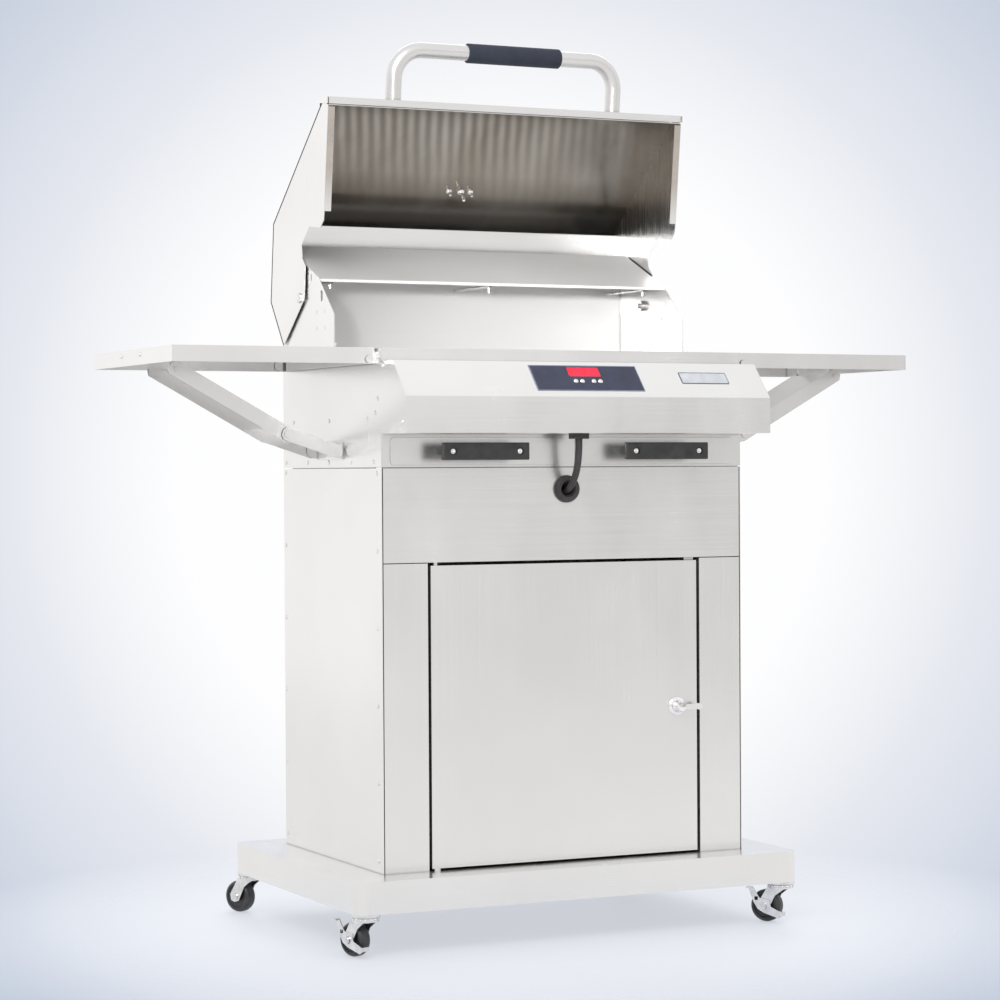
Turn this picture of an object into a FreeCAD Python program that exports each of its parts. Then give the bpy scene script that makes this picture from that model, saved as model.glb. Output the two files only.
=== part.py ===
"""Stainless electric grill on a cabinet cart, in millimetres.

X runs to the grill's right, Y from front to back, Z up. While the pieces are made, x = 0 is the middle
of the cabinet, y = 0 its front face and z = 0 the floor. Each piece is moved by ORIGIN_Y as it is saved,
so that the frame's origin is the middle of the footprint on the floor.
"""
import FreeCAD, Part
import math
import os
from FreeCAD import Vector

# ---- whole grill ----
ORIGIN_Y = 200.6
SHEET = 1.2
GAP = 0.1                     # assembly gap between two sheets of one body
HALF_WIDTH = 317.5            # cabinet and body side faces
DEPTH = 412.0

# ---- platform and casters ----
PLATFORM_HALF_WIDTH = 387.5
PLATFORM_FRONT = -64.0
PLATFORM_BACK = 472.0
PLATFORM_TOP = 117.0
PLATFORM_HEIGHT = 50.0
PLATFORM_SHEET = 1.5
PLATFORM_CORNER = 20.0
PLATFORM_FLANGE = 40.0
STEM_INSET = 22.0
WHEEL_RADIUS = 26.0
WHEEL_WIDTH = 21.0
CASTER_TRAIL = 24.0
RACE_RADIUS = 23.0
KINGPIN_RADIUS = 4.0
AXLE_RADIUS = 3.5
FORK_INSIDE = 12.5            # half the gap between the fork's legs
FORK_SHEET = 2.2
BRAKE_SHEET = 2.0
BRAKE_TAB_REACH = 9.0
BRAKE_OUTLINE = [(51, 57), (42, 57), (30.3, 39.4), (13, 37), (10, 26), (-9, 18), (-9, 11.5), (-4, 8),
                 (8, 11.5), (22.4, 15.5), (33.5, 21.5), (41, 32.7)]
RUNNING = 0.06                # radial clearance of a turning or sliding fit
CASTER_HEADINGS = {"fl": 109.5, "fr": 124.5, "rl": 119.5, "rr": 116.5}
BRAKED = ("fl", "fr")

# ---- cabinet ----
CABINET_TOP = 740.8
DOOR_LEFT = -235.5
DOOR_RIGHT = 234.5
DOOR_BOTTOM = 121.0
DOOR_TOP = 590.0
DOOR_DEPTH = 20.0
STILE_LEFT_EDGE = -240.5
STILE_RIGHT_EDGE = 240.1
STILE_TOP = 593.6
FLANGE = 15.0                  # folded edges of the side sheets
FLANGE_SPAN = (30.0, 380.0)
BACK_PANEL_TOP = 1060.0
BACK_FOLD_FRONT = 390.0
LIP_SETBACK = 3.0              # the upturned lips stand this far behind the sheets' faces
CATCH_SPAN = (214.0, 231.0)
FRONT_SEAM = 1.5               # open seam between the side sheets and the front sheets
LOCATING_LIP = 0.2             # what the cabinet's upturned lips leave free below the body
UPPER_PANEL_BOTTOM = 595.0
HINGE_X = -224.5
HINGE_Y = 8.0
HINGE_PIN_RADIUS = 4.0
LATCH_X = 197.5
LATCH_Z = 355.0
LATCH_SHAFT_RADIUS = 4.0
GROMMET_Z = 707.0
GROMMET_RADIUS = 21.5
GROMMET_HOLE = 16.0           # hole in the sheet that the grommet is pushed into

# ---- body ----
BODY_BOTTOM = 742.4
BODY_TOP = 926.0
RAIL_FLANGE = 12.0
WING = [(188, 989), (248, 1046), (390, 1109), (DEPTH, 1077)]
WING_KEYHOLE = (240, 1019)
WING_SLITS = ((260, 994), (226, 994), (260, 967), (226, 967))
RACK_SLOTS = 5
RACK_SLOT_START = 282
RACK_SLOT_PITCH = 14
COVER_LIP = 3.5
COVER_TAIL_BOTTOM = 1040.0
LINER_HALF_WIDTH = 296.0
LINER_FRONT = 20.0
LINER_BACK = 385.0
LINER_BOTTOM = 800.0
GRATE_Z = 905.0
GRATE_ROD = 3.1
GRATE_PITCH = 13.6
GRATE_RODS = 41
ELEMENT_Z = 878.0
ELEMENT_RADIUS = 4.0
ELEMENT_PITCH = 56.0
REFLECTOR_Z = 860.0
RACK_ARM_Z = 1044.0
RACK_ARM_FRONT = 276.0
RACK_ARM_X = (-288.0, -3.0, 288.0)
RACK_ARM_RADIUS = 2.5
RACK_HOOK = 11.0
SCREW_FRONT_Y = 18
SCREW_REAR_Y = 404
SCREW_LOW = 136
SCREW_SEAM_Z = 751
SCREWS_PER_EDGE = 6
REFLECTOR_EDGES = 60, 345            # front and rear edges of the element's reflector

# ---- control box on the body's front ----
BOX_TOP_DEPTH = 46.0
BOX_DEPTH = 96.0
BOX_TOP = 905.5
BOX_FACE_TOP = 850.0
BOX_BOTTOM = 794.0
SLOPE_ANGLE = math.degrees(math.atan2(BOX_TOP - BOX_FACE_TOP, BOX_DEPTH - BOX_TOP_DEPTH))
MEMBRANE = (-92.1, 95.5, 8.0, 62.0)        # left, right, first and last distance down the slope
MEMBRANE_THICKNESS = 0.8
DISPLAY = (-27.5, 27.5, 12.5, 31.5)
BUTTON_X = [-20.0, -8.8, 11.4, 22.9]
BUTTON_DOWN = 42.0
BUTTON_RADIUS = 4.0
GLAND_Y = -45.0
GLAND_CAP_BOTTOM = 785.5

# ---- drip trays ----
TRAY_CENTRE = 159.25
TRAY_FRONT_SIZE = (287.0, 42.0)
TRAY_FRONT_BOTTOM = 746.0
TRAY_FRONT_CORNER = 6.0
TRAY_FRONT_GAP = 0.3
TRAY_HALF_WIDTH = 139.5
TRAY_LENGTH = 330.0
TRAY_BOTTOM = 749.0
TRAY_WALL_TOP = 775.0
HANDLE_BAR = (146.0, 12.0, 27.0)
HANDLE_CENTRE_Y = -40.0
HANDLE_CENTRE_Z = 766.5
HANDLE_SCREW = 57.0

# ---- folding shelves and their struts; "out" is the distance from the side face ----
SHELF_INNER = 5.0
SHELF_OUTER = 331.0
SHELF_FRONT = 13.0
SHELF_BACK = 396.0
SHELF_TOP = 926.5
SHELF_SKIRT = 24.5
SHELF_HINGE = (14.0, 908.4)
STRUT_TOP = (277.0, 896.0)
KNUCKLE = (95.0, 795.5)
LINK_WALL = (12.5, 768.5)
STRUT_FRONT = 149.0
STRUT_BACK = 259.0
STRAP_WIDTH = 23.0
STRAP_THICKNESS = 2.2
SHELF_PIN_RADIUS = 3.5
EAR_LOW = 902.0                # the shelf brackets, hidden behind the shelf's skirt
EAR_HIGH = 920.0

# ---- hood, described closed and then opened about its pivot ----
HOOD_PIVOT = (326.0, 1020.0)
HOOD_OPEN_ANGLE = 83.2
HOOD_PLATE_INSIDE = 320.3
HOOD_MOUTH_FRONT = (12.0, 928.0)
HOOD_MOUTH_BACK = (182.0, 928.0)
HOOD_NOSE = (5.0, 951.0)
HOOD_CREST = (210.0, 1151.5)
HOOD_BACK = (341.5, 1150.0)
HOOD_TAIL = [(197, 929), (208, 940), (208, 988), (240, 1021), (259, 1016), (271, 1000.5),
             (325.5, 999), (409, 1084.5)]
HOOD_BACK_RETURN = 8.0
TRIM_FRONT = -1.0
TRIM_DEPTH = 11.0
TRIM_BOTTOM = 927.5
TRIM_TOP = 967.0
TRIM_END = 324.0
HANDLE_RADIUS = 12.7
HANDLE_WALL = 1.6
HANDLE_HALF_SPAN = 200.0
HANDLE_REACH = 82.4
HANDLE_BEND = 47.0
HANDLE_Z = 949.5
GRIP_RADIUS = 16.0
GRIP_LEFT = -73.0
GRIP_RIGHT = 95.0
HOOD_BOLT_RADIUS = 5.0

# ---- power cord: 11 mm rubber cord hanging in the cabinet, its end coiled on the cabinet floor ----
CORD_RADIUS = 5.5
CORD_ROUTE = [(0, -45, 785.5), (0, -45, 753.5), (1, -24, 715.5), (3, 28, 692), (8, 62, 650), (14, 76, 590),
              (6, 82, 502), (-10, 78, 404), (-6, 90, 304), (9, 104, 217), (25, 140, 161),
              (37, 180, 131), (43, 222, 123), (44, 255, 122.7)]
COIL_CENTRE = (110.0, 255.0)
COIL_RADIUS = 60.5


# ---------------------------------------------------------------- shape helpers
def box(x0, x1, y0, y1, z0, z1):
    return Part.makeBox(x1 - x0, y1 - y0, z1 - z0, Vector(x0, y0, z0))


def cylinder(radius, start, direction, length):
    return Part.makeCylinder(radius, length, Vector(*start), Vector(*direction))


def prism_x(points, x0, x1):
    """A (y, z) outline extruded along X."""
    wire = Part.makePolygon([Vector(x0, y, z) for y, z in points + points[:1]])
    return Part.Face(wire).extrude(Vector(x1 - x0, 0, 0))


def prism_y(points, y0, y1):
    """An (x, z) outline extruded along Y."""
    wire = Part.makePolygon([Vector(x, y0, z) for x, z in points + points[:1]])
    return Part.Face(wire).extrude(Vector(0, y1 - y0, 0))


def fuse(shapes):
    return shapes[0].multiFuse(shapes[1:]).removeSplitter()


def cut(shape, tools):
    return shape.cut(tools)


def mirrored(shape):
    return shape.mirror(Vector(0, 0, 0), Vector(1, 0, 0))


def both_sides(shape):
    return [mirrored(shape), shape]


def offset_line(points, distance):
    """The polyline moved sideways by distance, to the left of its direction, with mitred corners."""
    moved = []
    for i, (y, z) in enumerate(points):
        normals = []
        for a, b in ((i - 1, i), (i, i + 1)):
            if a < 0 or b >= len(points):
                continue
            dy, dz = points[b][0] - points[a][0], points[b][1] - points[a][1]
            size = math.hypot(dy, dz)
            normals.append((-dz / size, dy / size))
        ny = sum(n[0] for n in normals) / len(normals)
        nz = sum(n[1] for n in normals) / len(normals)
        scale = distance / (ny * ny + nz * nz)
        moved.append((y + ny * scale, z + nz * scale))
    return moved


def folded(points, x0, x1, thickness=SHEET, start=0.0):
    """A sheet folded along a (y, z) polyline, with its thickness to the left of the line."""
    near = offset_line(points, start)
    far = offset_line(points, start + thickness)
    return prism_x(near + far[::-1], x0, x1)


def tube_path(points, radii):
    """Straight runs through the points, joined by tangent arcs of the given radii."""
    edges = []
    last = points[0]
    for i in range(1, len(points) - 1):
        before = (points[i - 1] - points[i]).normalize()
        after = (points[i + 1] - points[i]).normalize()
        half_turn = (math.pi - before.getAngle(after)) / 2
        tangent = radii[i - 1] * math.tan(half_turn)
        enter = points[i] + before * tangent
        leave = points[i] + after * tangent
        inward = (before + after).normalize()
        middle = points[i] + inward * (radii[i - 1] / math.cos(half_turn) - radii[i - 1])
        edges.append(Part.LineSegment(last, enter).toShape())
        edges.append(Part.Arc(enter, middle, leave).toShape())
        last = leave
    edges.append(Part.LineSegment(last, points[-1]).toShape())
    return Part.Wire(edges)


def round_tube(path, radius, start, direction):
    circle = Part.Wire([Part.makeCircle(radius, start, direction)])
    return path.makePipeShell([circle], True, False)


def revolved(profile, centre, axis):
    """A closed profile of (radius, height) points turned about an axis through centre."""
    wire = Part.makePolygon([Vector(r, 0, h) for r, h in profile + profile[:1]])
    solid = Part.Face(wire).revolve(Vector(0, 0, 0), Vector(0, 0, 1), 360)
    rotation = FreeCAD.Rotation(Vector(0, 0, 1), Vector(*axis))
    solid.Placement = FreeCAD.Placement(Vector(*centre), rotation)
    return solid


def on_slope(shape):
    """Moves a shape from the slope's own frame: x right, y up the slope from its top edge, z outwards."""
    turn = FreeCAD.Rotation(Vector(1, 0, 0), SLOPE_ANGLE)
    shape.Placement = FreeCAD.Placement(Vector(0, -BOX_TOP_DEPTH, BOX_TOP), turn)
    return shape


def opened(shape):
    """Turns a hood piece from its closed place to its resting, open one."""
    turned = shape.copy()
    turned.rotate(Vector(0, *HOOD_PIVOT), Vector(1, 0, 0), -HOOD_OPEN_ANGLE)
    return turned


def save(node, solids):
    if not isinstance(solids, list):
        solids = [solids]
    shape = Part.makeCompound(solids) if len(solids) > 1 else solids[0]
    shape = shape.copy()
    shape.translate(Vector(0, -ORIGIN_Y, 0))
    for solid in shape.Solids:
        if not solid.isValid() or solid.Volume <= 0:
            print("bad solid in", node)
    shape.exportStep("parts/" + node + ".step")


# ---------------------------------------------------------------- platform and casters
def rounded_block(inset, z0, z1, corner):
    block = box(-PLATFORM_HALF_WIDTH + inset, PLATFORM_HALF_WIDTH - inset,
                PLATFORM_FRONT + inset, PLATFORM_BACK - inset, z0, z1)
    upright = [e for e in block.Edges if abs(e.Vertexes[0].Z - e.Vertexes[1].Z) > 1]
    return block.makeFillet(corner, upright)


def stem_places():
    x = PLATFORM_HALF_WIDTH - STEM_INSET
    front = PLATFORM_FRONT + STEM_INSET
    back = PLATFORM_BACK - STEM_INSET
    return {"fl": (-x, front), "fr": (x, front), "rl": (-x, back), "rr": (x, back)}


def base_platform():
    bottom = PLATFORM_TOP - PLATFORM_HEIGHT
    flange_top = bottom + PLATFORM_SHEET
    shell = rounded_block(0, bottom, PLATFORM_TOP, PLATFORM_CORNER)
    hollow = rounded_block(PLATFORM_SHEET, flange_top, PLATFORM_TOP - PLATFORM_SHEET,
                           PLATFORM_CORNER - PLATFORM_SHEET)
    mouth = rounded_block(PLATFORM_FLANGE, bottom - 1, flange_top + 1, PLATFORM_CORNER)
    holes = [cylinder(5.2, (x, y, bottom - 1), (0, 0, 1), 5) for x, y in stem_places().values()]
    return cut(shell, [hollow, mouth] + holes)


def caster_plates():
    """Stem bolt, upper race, kingpin and nut of each caster, in one piece per caster."""
    flange = PLATFORM_TOP - PLATFORM_HEIGHT
    plates = []
    for x, y in stem_places().values():
        outline = [(0, 62), (RACE_RADIUS - 2, 62), (RACE_RADIUS, 64), (RACE_RADIUS, flange), (0, flange)]
        race = revolved(outline, (x, y, 0), (0, 0, 1))
        stem = cylinder(5.0, (x, y, flange - 1), (0, 0, 1), 20)
        nut = cylinder(9.0, (x, y, flange + PLATFORM_SHEET), (0, 0, 1), 7)
        kingpin = cylinder(KINGPIN_RADIUS, (x, y, 54), (0, 0, 1), 9)
        rivet = cylinder(7.0, (x, y, 53.4), (0, 0, 1), 2.2)
        plates.append(fuse([race, stem, nut, kingpin, rivet]))
    return plates


def placed_caster(shape, corner):
    """Turns a piece made with its trail along +X to the corner's heading, and moves it to its stem."""
    x, y = stem_places()[corner]
    moved = shape.copy()
    moved.rotate(Vector(0, 0, 0), Vector(0, 0, 1), CASTER_HEADINGS[corner])
    moved.translate(Vector(x, y, 0))
    return moved


def caster_fork(braked):
    outside = FORK_INSIDE + FORK_SHEET
    leg = [(-15, 58.7), (17, 58.7), (34, 30), (32, 20), (25, 17.5), (16, 20), (4, 44)]
    legs = [prism_y(leg, FORK_INSIDE, outside), prism_y(leg, -outside, -FORK_INSIDE)]
    crown = cylinder(21.0, (0, 0, 56.1), (0, 0, 1), 2.6)
    bridge = box(-15, 17, -outside, outside, 56.1, 58.7)
    race = cylinder(20.0, (0, 0, 58.5), (0, 0, 1), 3.2).cut(cylinder(15.0, (0, 0, 58), (0, 0, 1), 5))
    far_end = outside + (5.0 if braked else 2.5)
    near_end = -outside - 2.5
    axle = cylinder(AXLE_RADIUS, (CASTER_TRAIL, near_end, WHEEL_RADIUS), (0, 1, 0), far_end - near_end)
    head = cylinder(6.0, (CASTER_TRAIL, near_end, WHEEL_RADIUS), (0, 1, 0), 2.5)
    nut_start = outside + (2.6 if braked else 0)
    nut = cylinder(6.0, (CASTER_TRAIL, nut_start, WHEEL_RADIUS), (0, 1, 0), 2.4)
    body = fuse(legs + [crown, bridge, race, axle, head, nut])
    return body.cut(cylinder(KINGPIN_RADIUS + RUNNING, (0, 0, 50), (0, 0, 1), 20))


def caster_wheel():
    half = WHEEL_WIDTH / 2
    bore = AXLE_RADIUS + RUNNING
    r = WHEEL_RADIUS
    profile = [(bore, -half - 1), (8, -half - 1), (8, -half + 2), (18, -half + 2), (19, -half),
               (r - 4, -half), (r - 1.2, -half + 2.5), (r, -half + 6), (r, half - 6),
               (r - 1.2, half - 2.5), (r - 4, half),
               (19, half), (18, half - 2), (8, half - 2), (8, half + 1), (bore, half + 1)]
    return revolved(profile, (CASTER_TRAIL, 0, WHEEL_RADIUS), (0, 1, 0))


def caster_brake():
    """Lever beside the fork, turning on the end of the axle: foot tab at its top, shoe at its low end."""
    inside = FORK_INSIDE + FORK_SHEET + GAP
    outside = inside + BRAKE_SHEET
    plate = prism_y(BRAKE_OUTLINE, inside, outside)
    tab = box(42, 51, inside, inside + BRAKE_TAB_REACH, 57 - BRAKE_SHEET, 57)
    shoe = box(-9, -9 + BRAKE_SHEET, 2, outside, 11.5, 18)
    lever = fuse([plate, tab, shoe])
    hole = cylinder(AXLE_RADIUS + RUNNING, (CASTER_TRAIL, inside - 1, WHEEL_RADIUS), (0, 1, 0), 5)
    square = box(33, 39, inside - 1, outside + 1, 35.5, 41.5)
    return cut(lever, [hole, square])


# ---------------------------------------------------------------- cabinet
def side_panel(bottom, top, outline_extra):
    """One side sheet with its edges folded inwards at the bottom and the top."""
    outer = HALF_WIDTH
    inner = HALF_WIDTH - SHEET
    outline = [(0, bottom), (DEPTH, bottom)] + outline_extra + [(0, top)]
    sheet = prism_x(outline, inner, outer)
    low = box(inner - FLANGE, inner + 0.5, *FLANGE_SPAN, bottom, bottom + SHEET)
    return sheet, low


def cabinet_side_panels():
    sheet, low = side_panel(PLATFORM_TOP, CABINET_TOP, [(DEPTH, CABINET_TOP)])
    inner = HALF_WIDTH - SHEET
    high = box(inner - FLANGE, inner + 0.5, *FLANGE_SPAN, CABINET_TOP - SHEET, CABINET_TOP)
    lip_x = inner - LIP_SETBACK
    lip = box(lip_x, lip_x + SHEET, *FLANGE_SPAN, CABINET_TOP - SHEET, BODY_BOTTOM - LOCATING_LIP)
    return both_sides(fuse([sheet, low, high, lip]))


def body_side_panels():
    """Side sheets of the body, each rising behind into a fixed wing."""
    wing = WING[::-1] + [(WING[0][0], BODY_TOP)]
    sheet, low = side_panel(BODY_BOTTOM, BODY_TOP, wing)
    inner = HALF_WIDTH - SHEET
    rim = box(inner - RAIL_FLANGE, inner + 0.5, 2, 186, BODY_TOP - SHEET, BODY_TOP)
    y, z = WING_KEYHOLE
    holes = [cylinder(5, (inner - 5, y, z + dz), (1, 0, 0), 10) for dz in (-4, 4)]
    holes.append(box(inner - 5, inner + 5, y - 5, y + 5, z - 4, z + 4))
    for y, z in WING_SLITS:
        holes.append(box(inner - 5, inner + 5, y - 1, y + 1, z - 3, z + 3))
    for i in range(RACK_SLOTS):
        y = RACK_SLOT_START + RACK_SLOT_PITCH * i
        holes.append(box(inner - 5, inner + 5, y, y + 3, 1046, 1056))
    return both_sides(fuse([sheet, low, rim]).cut(holes))


def back_panels():
    """Rear sheets of the cabinet and of the body."""
    panels = []
    for bottom, top in ((PLATFORM_TOP + SHEET, CABINET_TOP), (BODY_BOTTOM, BACK_PANEL_TOP)):
        inner = HALF_WIDTH - SHEET - GAP
        sheet = box(-inner, inner, DEPTH - SHEET, DEPTH, bottom, top)
        folds = [box(side * inner - SHEET / 2 - side * SHEET / 2, side * inner + SHEET / 2 - side * SHEET / 2,
                     BACK_FOLD_FRONT, DEPTH - SHEET / 2, bottom, min(top, BODY_TOP)) for side in (-1, 1)]
        panels.append(fuse([sheet] + folds))
    return panels


def front_stiles():
    stiles = []
    inner = HALF_WIDTH - SHEET - FRONT_SEAM
    for jamb, edge in ((STILE_LEFT_EDGE, -inner), (STILE_RIGHT_EDGE, inner)):
        side = 1 if edge > 0 else -1
        low, high = sorted((jamb, edge))
        face = box(low, high, 0, SHEET, PLATFORM_TOP, STILE_TOP)
        jamb_low, jamb_high = sorted((jamb, jamb + side * SHEET))
        jamb_return = box(jamb_low, jamb_high, 0, 30, PLATFORM_TOP, STILE_TOP)
        edge_low, edge_high = sorted((edge, edge - side * SHEET))
        edge_return = box(edge_low, edge_high, 0, 25, PLATFORM_TOP, STILE_TOP)
        stiles.append(fuse([face, jamb_return, edge_return]))
    return stiles


def upper_front_panel():
    """Sheet above the door, with the hole for the cord's grommet, and the door's catch block below it."""
    inner = HALF_WIDTH - SHEET - FRONT_SEAM
    face = box(-inner, inner, 0, SHEET, UPPER_PANEL_BOTTOM, CABINET_TOP)
    low = box(-inner, inner, 0, 25, UPPER_PANEL_BOTTOM, UPPER_PANEL_BOTTOM + SHEET)
    high = box(-inner, inner, 0, 25, CABINET_TOP - SHEET, CABINET_TOP)
    lip = box(-inner, inner, LIP_SETBACK, LIP_SETBACK + SHEET, CABINET_TOP - SHEET,
              BODY_BOTTOM - LOCATING_LIP)
    panel = fuse([face, low, high, lip])
    hole = cylinder(GROMMET_HOLE, (0, -5, GROMMET_Z), (0, 1, 0), 12)
    catch = box(*CATCH_SPAN, 4, 18, DOOR_TOP + 0.6, UPPER_PANEL_BOTTOM)
    return [panel.cut(hole), catch]


def cord_grommet():
    """Rubber ring pushed into the sheet, its hole widening to both faces; heights run backwards."""
    r = GROMMET_RADIUS
    rim = GROMMET_HOLE - 0.1
    profile = [(13.0, -8.0), (r - 4, -8.0), (r - 1, -6.5), (r, -3.5), (r, -0.1), (rim, -0.1),
               (rim, SHEET + 0.1), (18.5, SHEET + 0.1), (18.0, 4.5), (12.0, 4.5), (10.0, 1.5), (10.0, -3.0)]
    return revolved(profile, (0, 0, GROMMET_Z), (0, 1, 0))


def door_panel():
    pan = box(DOOR_LEFT, DOOR_RIGHT, 0, DOOR_DEPTH, DOOR_BOTTOM, DOOR_TOP)
    hollow = box(DOOR_LEFT + SHEET, DOOR_RIGHT - SHEET, SHEET, DOOR_DEPTH - SHEET,
                 DOOR_BOTTOM + SHEET, DOOR_TOP - SHEET)
    lip = 15.0
    mouth = box(DOOR_LEFT + lip, DOOR_RIGHT - lip, DOOR_DEPTH - 3, DOOR_DEPTH + 1,
                DOOR_BOTTOM + lip, DOOR_TOP - lip)
    pin_holes = [cylinder(HINGE_PIN_RADIUS + RUNNING, (HINGE_X, HINGE_Y, z - 2), (0, 0, 1), 5)
                 for z in (DOOR_BOTTOM, DOOR_TOP - SHEET)]
    shaft_hole = cylinder(LATCH_SHAFT_RADIUS + 0.5, (LATCH_X, -2, LATCH_Z), (0, 1, 0), 5)
    return cut(pan, [hollow, mouth, shaft_hole] + pin_holes)


def latch_rosette():
    bore = LATCH_SHAFT_RADIUS + RUNNING
    profile = [(bore, 0.0), (15.0, 0.0), (15.0, 1.2), (13.0, 2.6), (10.5, 3.4), (bore, 3.4)]
    return revolved(profile, (LATCH_X, 0, LATCH_Z), (0, -1, 0))


def latch_lever():
    """Knob with a flat lever pointing at the stile, its shaft, and the cam inside the door."""
    shaft = cylinder(LATCH_SHAFT_RADIUS, (LATCH_X, -12, LATCH_Z), (0, 1, 0), 19)
    hub = revolved([(0, 3.7), (9.5, 3.7), (9.5, 7), (8, 9), (8, 18), (6.5, 20.5), (0, 21)],
                   (LATCH_X, 0, LATCH_Z), (0, -1, 0))
    arm = prism_x([(-20.5, LATCH_Z - 4), (-13.5, LATCH_Z - 4), (-13.5, LATCH_Z + 4), (-20.5, LATCH_Z + 4)],
                  LATCH_X, LATCH_X + 30)
    tip = cylinder(5.2, (LATCH_X + 31, -20.5, LATCH_Z), (0, 1, 0), 7)
    cam = box(LATCH_X - 7, LATCH_X + 27, 4, 6.5, LATCH_Z - 7, LATCH_Z + 7)
    return fuse([shaft, hub, arm, tip, cam])


# ---------------------------------------------------------------- body
def rounded_plate(x0, x1, y0, y1, z0, z1, corner):
    plate = box(x0, x1, y0, y1, z0, z1)
    across = [e for e in plate.Edges if abs(e.Vertexes[0].Y - e.Vertexes[1].Y) > 0.5]
    return plate.makeFillet(corner, across)


def body_front_frame():
    inner = HALF_WIDTH - SHEET - GAP
    face = box(-inner, inner, 0, SHEET, BODY_BOTTOM, BODY_TOP)
    rim = box(-inner + RAIL_FLANGE + 1, inner - RAIL_FLANGE - 1, 0, RAIL_FLANGE, BODY_TOP - SHEET, BODY_TOP)
    folds = [box(side * inner - SHEET / 2 - side * SHEET / 2, side * inner + SHEET / 2 - side * SHEET / 2,
                 0, 25, BODY_BOTTOM, BODY_TOP - 2 * SHEET) for side in (-1, 1)]
    windows = []
    for side in (-1, 1):
        middle = side * TRAY_CENTRE
        half = TRAY_HALF_WIDTH + 0.6
        windows.append(box(middle - half, middle + half, -2, 4, TRAY_BOTTOM - 0.6, TRAY_WALL_TOP + 0.6))
    return cut(fuse([face, rim] + folds), windows)


def firebox_liner():
    """Open-topped tub that hangs below the body's rim, with a drain slot above each drip tray."""
    top = BODY_TOP - SHEET
    half = LINER_HALF_WIDTH
    tub = box(-half, half, LINER_FRONT, LINER_BACK, LINER_BOTTOM, top)
    hollow = box(-half + SHEET, half - SHEET, LINER_FRONT + SHEET, LINER_BACK - SHEET,
                 LINER_BOTTOM + SHEET, top + 1)
    flange = box(-half - 19, half + 19, LINER_FRONT - 16, LINER_BACK, top - SHEET, top)
    mouth = box(-half + 0.6, half - 0.6, LINER_FRONT + 0.6, LINER_BACK + 1, top - SHEET - 1, top + 1)
    ledges = [box(-280, 280, LINER_FRONT + 0.6, LINER_FRONT + 14, 896, 898),
              box(-280, 280, LINER_BACK - 14, LINER_BACK - 0.6, 896, 898)]
    slots = [box(side * TRAY_CENTRE - 90, side * TRAY_CENTRE + 90, 190, 220, LINER_BOTTOM - 1,
                 LINER_BOTTOM + 3) for side in (-1, 1)]
    terminals = [cylinder(ELEMENT_RADIUS + 0.5, (x, LINER_FRONT - 2, ELEMENT_Z), (0, 1, 0), 6)
                 for x in element_ends()]
    return cut(fuse([tub.cut(hollow), flange.cut(mouth)] + ledges), slots + terminals)


def element_ends():
    return (-4.5 * ELEMENT_PITCH, 4.5 * ELEMENT_PITCH)


def heating_element():
    """Tubular element: ten runs from front to back joined by half-round bends."""
    front, back = 58.0, 345.0
    bend = ELEMENT_PITCH / 2
    columns = [(i - 4.5) * ELEMENT_PITCH for i in range(10)]
    edges = []
    for i, x in enumerate(columns):
        low = 8.0 if i in (0, 9) else front
        ends = [Vector(x, low, ELEMENT_Z), Vector(x, back, ELEMENT_Z)]
        if i % 2:
            ends.reverse()
        edges.append(Part.LineSegment(*ends).toShape())
        if i < 9:
            turn = ends[1]
            out = bend if i % 2 == 0 else -bend
            crown = Vector(x + bend, turn.y + out, ELEMENT_Z)
            edges.append(Part.Arc(turn, crown, Vector(x + ELEMENT_PITCH, turn.y, ELEMENT_Z)).toShape())
    return round_tube(Part.Wire(edges), ELEMENT_RADIUS, Vector(columns[0], 8.0, ELEMENT_Z), Vector(0, 1, 0))


def element_reflector():
    half = LINER_HALF_WIDTH - SHEET - GAP
    front, back = REFLECTOR_EDGES
    plate = box(-half, half, front, back, REFLECTOR_Z, REFLECTOR_Z + SHEET)
    edges = [box(-half, half, y, y + SHEET, REFLECTOR_Z, REFLECTOR_Z + 9) for y in (front, back - SHEET)]
    feet = [box(side * 200 - 10, side * 200 + 10, y, y + 2, LINER_BOTTOM + SHEET, REFLECTOR_Z)
            for side in (-1, 1) for y in (90, 310)]
    holders = [box(x - 3, x + 3, y, y + 2, REFLECTOR_Z + SHEET - 0.2, ELEMENT_Z - ELEMENT_RADIUS)
               for x in element_ends() for y in (120, 290)]
    return fuse([plate] + edges + feet + holders)


def cooking_grate():
    """Round rods from front to back on three flat cross bars."""
    half = GRATE_PITCH * (GRATE_RODS - 1) / 2
    length = LINER_BACK - LINER_FRONT - 2 * SHEET - 6
    start = LINER_FRONT + SHEET + 3
    rods = [cylinder(GRATE_ROD, (-half + i * GRATE_PITCH, start, GRATE_Z), (0, 1, 0), length)
            for i in range(GRATE_RODS)]
    bars = [box(-half - 6, half + 6, y, y + 8, GRATE_Z - 6.9, GRATE_Z - 1.5)
            for y in (start + 1, start + length / 2 - 4, start + length - 9)]
    return fuse(bars + rods)


def rear_cover():
    """Folded sheet over the wings, its front lip between them and its tail down the back."""
    top_line = WING[1:] + [(DEPTH, COVER_TAIL_BOTTOM)]
    top = folded(top_line, -HALF_WIDTH, HALF_WIDTH, SHEET, GAP)
    lip_y, lip_z = WING[1]
    inner = HALF_WIDTH - SHEET - GAP
    lip = box(-inner, inner, lip_y - 0.2, lip_y + SHEET, lip_z - COVER_LIP, lip_z + 1.0)
    return fuse([top, lip])


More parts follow.
